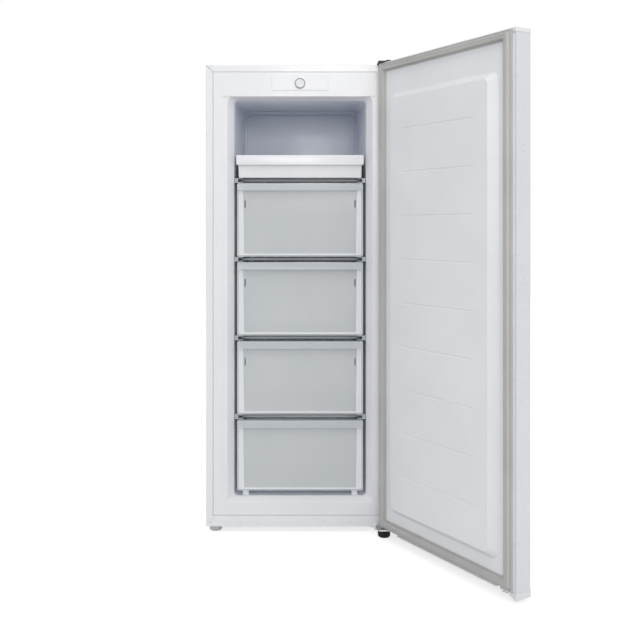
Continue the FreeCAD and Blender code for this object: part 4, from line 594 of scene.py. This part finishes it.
tinted = clear_plastic("clear_tinted_plastic", TINT, TINT_SHADE, CLEAR)
bead_painted_highlight = clear_plastic("clear_plastic_painted_highlight", HIGHLIGHT_TINT, HIGHLIGHT_TINT_SHADE, HIGHLIGHT_CLEAR)
grip_painted_shade = clear_plastic("clear_plastic_grip_painted_shade", GRIP_SHADE_TINT, GRIP_SHADE_TINT, GRIP_SHADE_CLEAR)


def tub(bm, half, draft, front, rear, foot, top, wall, rim, corner):
    """Open drafted tub with a rim, as one closed skin."""
    low = rounded_loop(bm, "level", foot, (draft - half, front), (half - draft, rear - draft), corner)
    high = rounded_loop(bm, "level", top - wall, (-half, front), (half, rear), corner)
    under = rounded_loop(bm, "level", top - wall, (-half - rim, front), (half + rim, rear + rim), corner)
    over = rounded_loop(bm, "level", top, (-half - rim, front), (half + rim, rear + rim), corner)
    mouth = rounded_loop(bm, "level", top, (wall - half, front + wall), (half - wall, rear - wall),
                         corner - wall)
    floor = rounded_loop(bm, "level", foot + wall, (draft + wall - half, front + wall),
                         (half - draft - wall, rear - draft - wall), corner - wall)
    loft(bm, [low, high, under, over, mouth, floor])
    soften(bm, [low], 3.5)
    soften(bm, [floor], 2.5)
    soften(bm, [over, mouth], 0.8, 2)


def drawer_shape(foot, top, rear, slotted):
    body = bmesh.new()
    tub(body, TUB_HALF, TUB_DRAFT, DRAWER_Y, rear, foot, top, TUB_WALL, RIM, 16.0)
    panel = bmesh.new()
    shape = (DRAWER_HALF, foot, top)
    loops = [centred_loop(panel, y, shape, 6.0) for y in (DRAWER_Y - 0.3, DRAWER_Y + TUB_WALL - 0.3)]
    loft(panel, loops)
    soften(panel, loops, 0.7, 2)
    body = worked(body, panel, "UNION")
    bead = bmesh.new()
    outer = (DRAWER_HALF - BEAD_INSET, foot + BEAD_INSET, top - 3.0)
    inner = (outer[0] - BEAD_SIDE, outer[1] + BEAD_FOOT, outer[2] - 6.0)
    proud = DRAWER_Y - 0.3 - BEAD_PROUD
    loops = [centred_loop(bead, DRAWER_Y, outer, 6.0), centred_loop(bead, proud, outer, 6.0),
             centred_loop(bead, proud, inner, 2.0), centred_loop(bead, DRAWER_Y, inner, 2.0)]
    for v in {v for loop in loops[2:] for e in loop for v in e.verts}:
        if v.co.z > (foot + top) / 2:
            v.co.x += math.copysign(BEAD_SIDE - BEAD_SIDE_TOP, v.co.x)
    loft(bead, loops, False, False)
    skin(bead, loops[3], loops[0])
    soften(bead, loops[1:3], 0.6, 2)
    body = worked(body, bead, "UNION")
    grip = bmesh.new()
    half = DRAWER_HALF - 3.0
    block(grip, (-half, half), (GRIP_Y, DRAWER_Y + 1.0), (top - TUB_WALL, top))
    lip = bmesh.new()
    block(lip, (-half, half), (GRIP_Y, GRIP_Y + TUB_WALL), (top - GRIP_DROP, top))
    grip = worked(grip, lip, "UNION")
    long_edges = [e for e in sharp_edges(grip, 1.0) if all(v.co.y < DRAWER_Y - 1.0 for v in e.verts)]
    round_off(grip, long_edges, 0.9)
    body = worked(body, grip, "UNION")
    if slotted:
        slots = bmesh.new()
        for x in (-SLOT_X, SLOT_X):
            loft(slots, [rounded_loop(slots, "front", y, (x - SLOT_HALF, top - SLOT_FOOT),
                                      (x + SLOT_HALF, top - SLOT_TOP), 1.4, 3) for y in (15.0, 30.0)])
        body = worked(body, slots, "DIFFERENCE")
    proud_face = DRAWER_Y - 0.31
    for face in body.faces:
        middle = face.calc_center_median()
        # Faces of the grip get the darker copy: painted shade.
        if middle.y < DRAWER_Y - 2.5 and middle.z > top - GRIP_DROP - 1.0:
            face.material_index = 2
        # Other faces in front of the panel face, mostly the raised bead, get the brighter copy: painted
        # highlight.
        elif middle.y < proud_face:
            face.material_index = 1
    return body


for number, (foot, top, rear, slotted) in enumerate(DRAWERS, 1):
    finished(f"clear_drawer_{number}", drawer_shape(foot, top, rear, slotted), f"drawer_{number}",
             [tinted, bead_painted_highlight, grip_painted_shade], [f"drawer_{number}"], sharp=28)

# ---- top tray ----
# Shallow tray in opaque white polystyrene with a deep rolled lip to pull it by. It lies on the
# uppermost cold shelf and slides out over it.
TRAY_FOOT, TRAY_TOP = 1038.3, 1105.0
TRAY_HALF, TRAY_LIP_HALF, TRAY_Y, TRAY_REAR = 183.0, 187.0, 18.0, 362.0
TRAY_WALL, TRAY_LIP = 2.6, 29.0
white_tray = moulded("white_tray_plastic", WHITE, WHITE_SHADE, 420.0, 0.03, (0.28, 0.38), coat=0.15)
tray = bmesh.new()
tub(tray, TRAY_HALF, 2.0, TRAY_Y, TRAY_REAR, TRAY_FOOT, TRAY_TOP, TRAY_WALL, 0.01, 5.0)
lip = bmesh.new()
loops = [centred_loop(lip, y, (TRAY_LIP_HALF, TRAY_TOP - TRAY_LIP, TRAY_TOP), 3.0)
         for y in (GRIP_Y, GRIP_Y + TRAY_WALL)]
loft(lip, loops)
soften(lip, loops, 0.9)
tray = worked(tray, lip, "UNION")
ledge = bmesh.new()
block(ledge, (3.0 - TRAY_LIP_HALF, TRAY_LIP_HALF - 3.0), (GRIP_Y + 1.0, TRAY_Y + 1.0),
      (TRAY_TOP - TRAY_WALL, TRAY_TOP - 0.05))
tray = worked(tray, ledge, "UNION")
finished("top_tray_moulded", tray, "top_tray", [white_tray], ["top_tray"], sharp=28)

# ---- control plate and dial ----
# Snap-in plastic plate in the header, with a round dial turned by a coin in its slot, and the
# thermostat switch in the pocket behind it.
DIAL_Z, DIAL, DIAL_BACK, DIAL_FRONT = 1313.5, 12.8, -2.2, -7.7
DIAL_SLOT, DIAL_SLOT_DEPTH = 3.0, 2.4
PLATE, PLATE_CORNER, PLATE_PROUD = (82.5, 1293.0, 1338.3), 4.0, 2.0
PLATE_NOTCH, DIAL_RING = (-35.0, 67.0), 15.6
GROOVE_SHADOW_GREY = (0.26, 0.26, 0.26, 1.0)
GROOVE_SHADOW_TONE = (0.22, 0.22, 0.22, 1.0)
DIAL_WHITE = (0.78, 0.785, 0.795, 1.0)
CREAM = (0.62, 0.58, 0.46, 1.0)
CREAM_SHADE = (0.55, 0.51, 0.40, 1.0)
NICKEL_DARK, NICKEL_LIGHT = (0.48, 0.49, 0.50, 1.0), (0.62, 0.63, 0.64, 1.0)
plate = bmesh.new()
loft(plate, [centred_loop(plate, y, (PLATE[0] - inset, PLATE[1] + inset, PLATE[2] - inset), PLATE_CORNER)
             for y, inset in ((0.0, 0.0), (-1.2, 0.0), (-2.0, 0.8))])
groove = bmesh.new()
bar(groove, (0, -PLATE_PROUD - 1.0, DIAL_Z), (0, -PLATE_PROUD + 1.2, DIAL_Z), DIAL_RING, 48)
core = bmesh.new()
bar(core, (0, -PLATE_PROUD - 3.0, DIAL_Z), (0, 1.0, DIAL_Z), DIAL_RING - 2.2, 48)
plate = worked(plate, worked(groove, core, "DIFFERENCE"), "DIFFERENCE")
notch = bmesh.new()
block(notch, PLATE_NOTCH, (-3.0, -0.7), (PLATE[1] - 1.0, PLATE[1] + 1.6))
plate = worked(plate, notch, "DIFFERENCE")
# Faces inside the ring groove round the dial get a dark grey: painted shadow in the groove.
for face in plate.faces:
    middle = face.calc_center_median()
    if -PLATE_PROUD + 0.1 < middle.y < -0.4 and math.hypot(middle.x, middle.z - DIAL_Z) < DIAL_RING + 0.1:
        face.material_index = 1
shadow_gap = moulded("shadow_gap", GROOVE_SHADOW_GREY, GROOVE_SHADOW_TONE, 400.0, 0.05, (0.5, 0.6))
finished("snap_in_plate", plate, "cabinet", [white_styrene, shadow_gap], ["control_plate"])
dial_white = moulded("dial_plastic", DIAL_WHITE, WHITE_SHADE, 500.0, 0.04, (0.28, 0.36))
dial = bmesh.new()
bar(dial, (0, DIAL_BACK, DIAL_Z), (0, DIAL_FRONT, DIAL_Z), DIAL, 48, DIAL - 0.6)
front = min(dial.faces, key=lambda f: f.calc_center_median().y)
bmesh.ops.inset_region(dial, faces=[front], thickness=1.0, depth=0.0)
bmesh.ops.inset_region(dial, faces=[front], thickness=0.6, depth=-0.5)
round_off(dial, sharp_edges(dial, 1.2), 0.5, 2)
coin_slot = bmesh.new()
cut = block(coin_slot, (2.6 - DIAL, DIAL - 2.6), (DIAL_FRONT - 1.0, DIAL_FRONT + DIAL_SLOT_DEPTH),
            (-DIAL_SLOT / 2, DIAL_SLOT / 2))
bmesh.ops.rotate(coin_slot, verts=cut, cent=(0, 0, 0), matrix=Matrix.Rotation(math.radians(-45), 3, "Y"))
bmesh.ops.translate(coin_slot, verts=cut, vec=(0, 0, DIAL_Z))
dial = worked(dial, coin_slot, "DIFFERENCE")
finished("slotted_dial", dial, "thermostat_dial", [dial_white], ["thermostat_knob"])
nickel = metal("plated_steel", NICKEL_DARK, NICKEL_LIGHT, 900.0, (0.22, 0.32))
cream = moulded("switch_housing", CREAM, CREAM_SHADE, 400.0, 0.1, (0.5, 0.65))
carried_over("thermostat", cream, 0.5)
carried_over("thermostat_spindle", nickel, 0.3)

# ---- door skin, foam and end caps ----
# The door is a painted steel pan closed by a moulded cap at each end, filled with foam. The
# upper cap has a finger pocket along its top, the lower one a skirt with a notch and prongs.
# The door skin is the same white enamel as the cabinet; this greyer, bluer copy is painted shade.
DOOR_PAINTED_SHADE = (0.70, 0.71, 0.735, 1.0)
DOOR_PAINTED_SHADE_TONE = (0.68, 0.69, 0.715, 1.0)
CAP_WHITE = (0.80, 0.80, 0.795, 1.0)
CAP_SHADE = (0.75, 0.75, 0.745, 1.0)
NYLON = (0.72, 0.71, 0.66, 1.0)
NYLON_SHADE = (0.68, 0.67, 0.61, 1.0)
door_enamel_painted_shade = moulded("door_enamel_painted_shade", DOOR_PAINTED_SHADE, DOOR_PAINTED_SHADE_TONE, 620.0, 0.012, (0.26, 0.34), coat=0.25)
carried_over("door_skin", door_enamel_painted_shade, 0.3, limit=50)
carried_over("door_foam", foam)
cap_plastic = moulded("end_cap_plastic", CAP_WHITE, CAP_SHADE, 380.0, 0.12, (0.40, 0.52))
carried_over("door_top_cap", cap_plastic, 0.8, 3)
carried_over("door_bottom_cap", cap_plastic, 0.5, 2)
nylon = moulded("bush_nylon", NYLON, NYLON_SHADE, 400.0, 0.05, (0.35, 0.45))
carried_over("door_bushes", nylon, 0.3)

# ---- inner door panel ----
# Vacuum-formed white polystyrene, snapped over the foam: a flat margin, a raised middle with
# soft sides that closes the compartment, and nine short level grooves that stiffen it.
PIN_X, PIN_Y, DOOR_SWING = 256.0, -33.0, 121.0
DOOR_FACE = -14.0
MARGIN = (268.0, 30.0, 1354.0)
PLUG_FOOT = (216.0, 86.0, 1272.0)
PLUG_CROWN = (198.0, 104.0, 1254.0)
PLUG_HEIGHT = 19.0
GROOVES, GROOVE_STEP, LOWEST_GROOVE = 9, 120.0, 204.5
GROOVE_HALF, GROOVE_HEIGHT, GROOVE_DEPTH = 147.0, 3.0, 1.2


def swung_open(bm):
    """Turn a door piece, drawn shut, about the hinge line to the shown pose."""
    bmesh.ops.rotate(bm, verts=bm.verts, cent=(PIN_X, PIN_Y, 0),
                     matrix=Matrix.Rotation(math.radians(DOOR_SWING), 3, "Z"))
    return bm


def inner_panel_shape():
    panel = bmesh.new()
    back = centred_loop(panel, DOOR_FACE - 2.0, MARGIN, 3.0)
    edge = centred_loop(panel, DOOR_FACE, MARGIN, 3.0)
    foot = centred_loop(panel, DOOR_FACE, PLUG_FOOT, 25.0, 8)
    crown = centred_loop(panel, DOOR_FACE + PLUG_HEIGHT, PLUG_CROWN, 14.0, 8)
    loft(panel, [back, edge, foot, crown])
    levels = [LOWEST_GROOVE + GROOVE_STEP * n + side * GROOVE_HEIGHT
              for n in range(GROOVES) for side in (-1, 1)]
    cuts = [((0, 0, level), (0, 0, 1)) for level in levels]
    cuts += [((x, 0, 0), (1, 0, 0)) for x in (-GROOVE_HALF, GROOVE_HALF)]
    field = DOOR_FACE + PLUG_HEIGHT - 0.1
    for place, facing in cuts:
        flat = [f for f in panel.faces if f.calc_center_median().y > field]
        parts = {part for f in flat for part in (f, *f.edges, *f.verts)}
        bmesh.ops.bisect_plane(panel, geom=list(parts), dist=0.001, plane_co=place, plane_no=facing)
    grooves = []
    for face in panel.faces:
        middle = face.calc_center_median()
        row = (middle.z - LOWEST_GROOVE) / GROOVE_STEP
        if middle.y > field and abs(middle.x) < 1.0 and abs(row - round(row)) < 0.005:
            grooves.append(face)
    bmesh.ops.inset_individual(panel, faces=grooves, thickness=1.6, depth=-GROOVE_DEPTH)
    soften(panel, [foot, crown], 5.0, 4)
    return panel


finished("inner_door_panel", swung_open(inner_panel_shape()), "door", [white_styrene],
         ["door_inner_panel"], sharp=30)

# ---- magnetic gasket ----
# Extruded soft grey vinyl with mitred, welded corners: an anchoring wing on each edge, fine
# ribs and a hollow lip that holds the magnet strip.
GASKET_OUTER = (265.0, 31.0, 1363.5)
GASKET_PROFILE = ((0.0, 0.0), (0.3, 4.6), (1.2, 5.2), (3.0, 5.4), (3.8, 4.4), (4.6, 5.6), (5.6, 6.6),
                  (6.3, 11.6), (7.2, 12.9), (8.6, 13.6), (11.6, 13.6), (12.0, 12.9), (12.6, 12.9),
                  (13.0, 13.6), (18.2, 13.6), (19.8, 12.8), (20.6, 11.4), (21.2, 6.4), (22.2, 4.0),
                  (23.0, 4.8), (24.2, 4.6), (25.0, 3.4), (25.0, 0.0))          # inset and rise
VINYL = (0.50, 0.495, 0.475, 1.0)
VINYL_SHADE = (0.46, 0.455, 0.435, 1.0)


def gasket_shape():
    seal = bmesh.new()
    half, bottom, top = GASKET_OUTER
    loops = [centred_loop(seal, DOOR_FACE + lift, (half - inset, bottom + inset, top - inset), 0)
             for inset, lift in GASKET_PROFILE]
    loft(seal, loops, False, False)
    skin(seal, loops[-1], loops[0])
    return seal


vinyl = moulded("gasket_vinyl", VINYL, VINYL_SHADE, 300.0, 0.08, (0.45, 0.6))
finished("magnetic_gasket", swung_open(gasket_shape()), "door", [vinyl], ["door_gasket"],
         sharp=40)

# ---- hinges, feet and screws ----
# Pressed steel brackets, the upper one black and the lower one zinc plated, with riveted pins.
# The near front foot stands in the bracket under the door. Both front feet screw up and down.
BLACK = (0.018, 0.018, 0.019, 1.0)
BLACK_SHADE = (0.03, 0.03, 0.032, 1.0)
FOOT_GREY = (0.58, 0.58, 0.585, 1.0)
FOOT_GREY_SHADE = (0.52, 0.52, 0.53, 1.0)
FOOT_BLACK = (0.008, 0.008, 0.0085, 1.0)
FOOT_BLACK_SHADE = (0.014, 0.014, 0.015, 1.0)
black_paint = moulded("black_paint", BLACK, BLACK_SHADE, 500.0, 0.1, (0.35, 0.5))
carried_over("upper_hinge_bracket", black_paint, 0.5)
carried_over("upper_hinge_pin", nickel, 0.4)
carried_over("lower_hinge_bracket", nickel, 0.5)
carried_over("lower_hinge_pin", nickel, 0.4)
carried_over("hinge_screws", nickel, 0.3)
carried_over("corner_screws", nickel, 0.2)
carried_over("hinge_hole_plugs", cap_plastic, 0.3)
grey_plastic = moulded("foot_grey", FOOT_GREY, FOOT_GREY_SHADE, 350.0, 0.2, (0.5, 0.65))
black_plastic = moulded("foot_black", FOOT_BLACK, FOOT_BLACK_SHADE, 350.0, 0.2, (0.5, 0.65), specular=0.2)
carried_over("front_foot_left", grey_plastic, 0.4)
carried_over("front_foot_right", black_plastic, 0.4)
carried_over("rear_feet", black_plastic, 0.5)

# ---- refrigeration ----
# Copper tube runs from the welded black compressor to the condenser coils behind the side
# sheets, through the drier and the capillary to the shelves, and back along the suction pipe.
COPPER_DARK, COPPER_LIGHT = (0.50, 0.22, 0.12, 1.0), (0.66, 0.33, 0.20, 1.0)
RUBBER = (0.02, 0.02, 0.02, 1.0)
RUBBER_SHADE = (0.03, 0.03, 0.03, 1.0)
copper = metal("copper_tube", COPPER_DARK, COPPER_LIGHT, 60.0, (0.28, 0.42))
pot_black = moulded("compressor_enamel", BLACK, BLACK_SHADE, 220.0, 0.12, (0.28, 0.42), coat=0.4)
rubber = moulded("black_rubber", RUBBER, RUBBER_SHADE, 260.0, 0.3, (0.65, 0.8))
for name in ("condenser_coil_left", "condenser_coil_right", "front_frame_loop", "discharge_pipe",
             "suction_pipe", "filter_drier", "capillary_tube"):
    carried_over(name, copper)
carried_over("compressor", pot_black, 0.6)
carried_over("start_relay_cover", black_plastic, 1.0)
carried_over("compressor_grommets", rubber, 0.5)
carried_over("cord_gland", rubber, 0.5)

# ---- floor, light and camera ----
# A white studio: pale floor and backdrop that read as pure white to the camera, with a soft
# shadow, and broad lamps at a level where colours look as they are written.
CAMERA = (0.02047, -2.5734, 0.892)
LENS, SHIFT_X, SHIFT_Y = 49.49, 0.0203, -0.1444
FLOOR_WHITE = 0.62                                # also the glow that makes it white to the camera
SKY_LOW, SKY_HIGH = 0.46, 0.92
COOL_SKY, PURE_WHITE = (0.975, 0.99, 1.03, 1.0), (1.0, 1.0, 1.0, 1.0)
WARM_LAMP = (1.0, 0.985, 0.96)
floor_material, tree, shader = shader_of("studio_floor")
shader.inputs["Base Color"].default_value = (FLOOR_WHITE, FLOOR_WHITE, FLOOR_WHITE, 1.0)
shader.inputs["Roughness"].default_value = 0.9
rays = node(tree, "LightPath", -600, -300).outputs
plain = reckon(tree, "MAXIMUM", -400, -300, rays["Is Camera Ray"], rays["Is Glossy Ray"])
clear = reckon(tree, "MAXIMUM", -200, -300, plain, rays["Is Transmission Ray"])
glow = node(tree, "Emission", 200, -300)
tree.links.new(reckon(tree, "MULTIPLY", 0, -300, clear, FLOOR_WHITE), glow.inputs["Strength"])
total = node(tree, "AddShader", 400, 0)
tree.links.new(shader.outputs[0], total.inputs[0])
tree.links.new(glow.outputs[0], total.inputs[1])
tree.links.new(total.outputs[0], tree.nodes["Material Output"].inputs["Surface"])
ground = bmesh.new()
bmesh.ops.create_grid(ground, x_segments=8, y_segments=8, size=9.0)
mesh = bpy.data.meshes.new("studio_ground")
ground.to_mesh(mesh)
ground.free()
mesh.materials.append(floor_material)
studio_ground = bpy.data.objects.new("studio_ground", mesh)
bpy.context.scene.collection.objects.link(studio_ground)

world = bpy.data.worlds.new("studio")
bpy.context.scene.world = world
world.use_nodes = True
tree = world.node_tree
backdrop = tree.nodes["Background"]
height = node(tree, "SeparateXYZ", -800, 0)
tree.links.new(node(tree, "TexCoord", -1000, 0).outputs["Generated"], height.inputs["Vector"])
level = spread(tree, height.outputs["Z"], -0.4, 1.0, SKY_LOW, SKY_HIGH, -600, 0)
rays = node(tree, "LightPath", -800, -300).outputs
plain = reckon(tree, "MAXIMUM", -600, -300, rays["Is Camera Ray"], rays["Is Transmission Ray"])
tree.links.new(mixed(tree, "FLOAT", plain, level, 1.0, -300, 0), backdrop.inputs["Strength"])
tree.links.new(mixed(tree, "RGBA", plain, COOL_SKY, PURE_WHITE, -300, 300), backdrop.inputs["Color"])


def lamp(name, place, aim, size, power):
    light = bpy.data.lights.new(name, "AREA")
    light.shape = "RECTANGLE"
    light.size, light.size_y = size
    light.energy = power
    light.color = WARM_LAMP
    holder = bpy.data.objects.new(name, light)
    bpy.context.scene.collection.objects.link(holder)
    holder.location = place
    holder.rotation_euler = (Vector(aim) - Vector(place)).to_track_quat("-Z", "Y").to_euler()


lamp("front_softbox", (0.3, -4.2, 1.7), (0.0, 0.0, 0.8), (1.0, 1.0), 32.0)
lamp("right_softbox", (3.0, -2.5, 1.7), (0.0, 0.0, 0.8), (1.0, 1.6), 12.0)
lamp("overhead_softbox", (0.2, -1.6, 3.4), (0.1, 0.0, 0.7), (2.0, 1.4), 14.0)

view = bpy.data.cameras.new("photo_camera")
view.lens = LENS
view.sensor_width = 36.0
view.shift_x, view.shift_y = SHIFT_X, SHIFT_Y
view.clip_start = 0.05
camera = bpy.data.objects.new("photo_camera", view)
bpy.context.scene.collection.objects.link(camera)
camera.location = CAMERA
camera.rotation_euler = (math.radians(90), 0, 0)
bpy.context.scene.camera = camera
bpy.context.scene.view_settings.view_transform = "Standard"

bpy.context.view_layer.update()
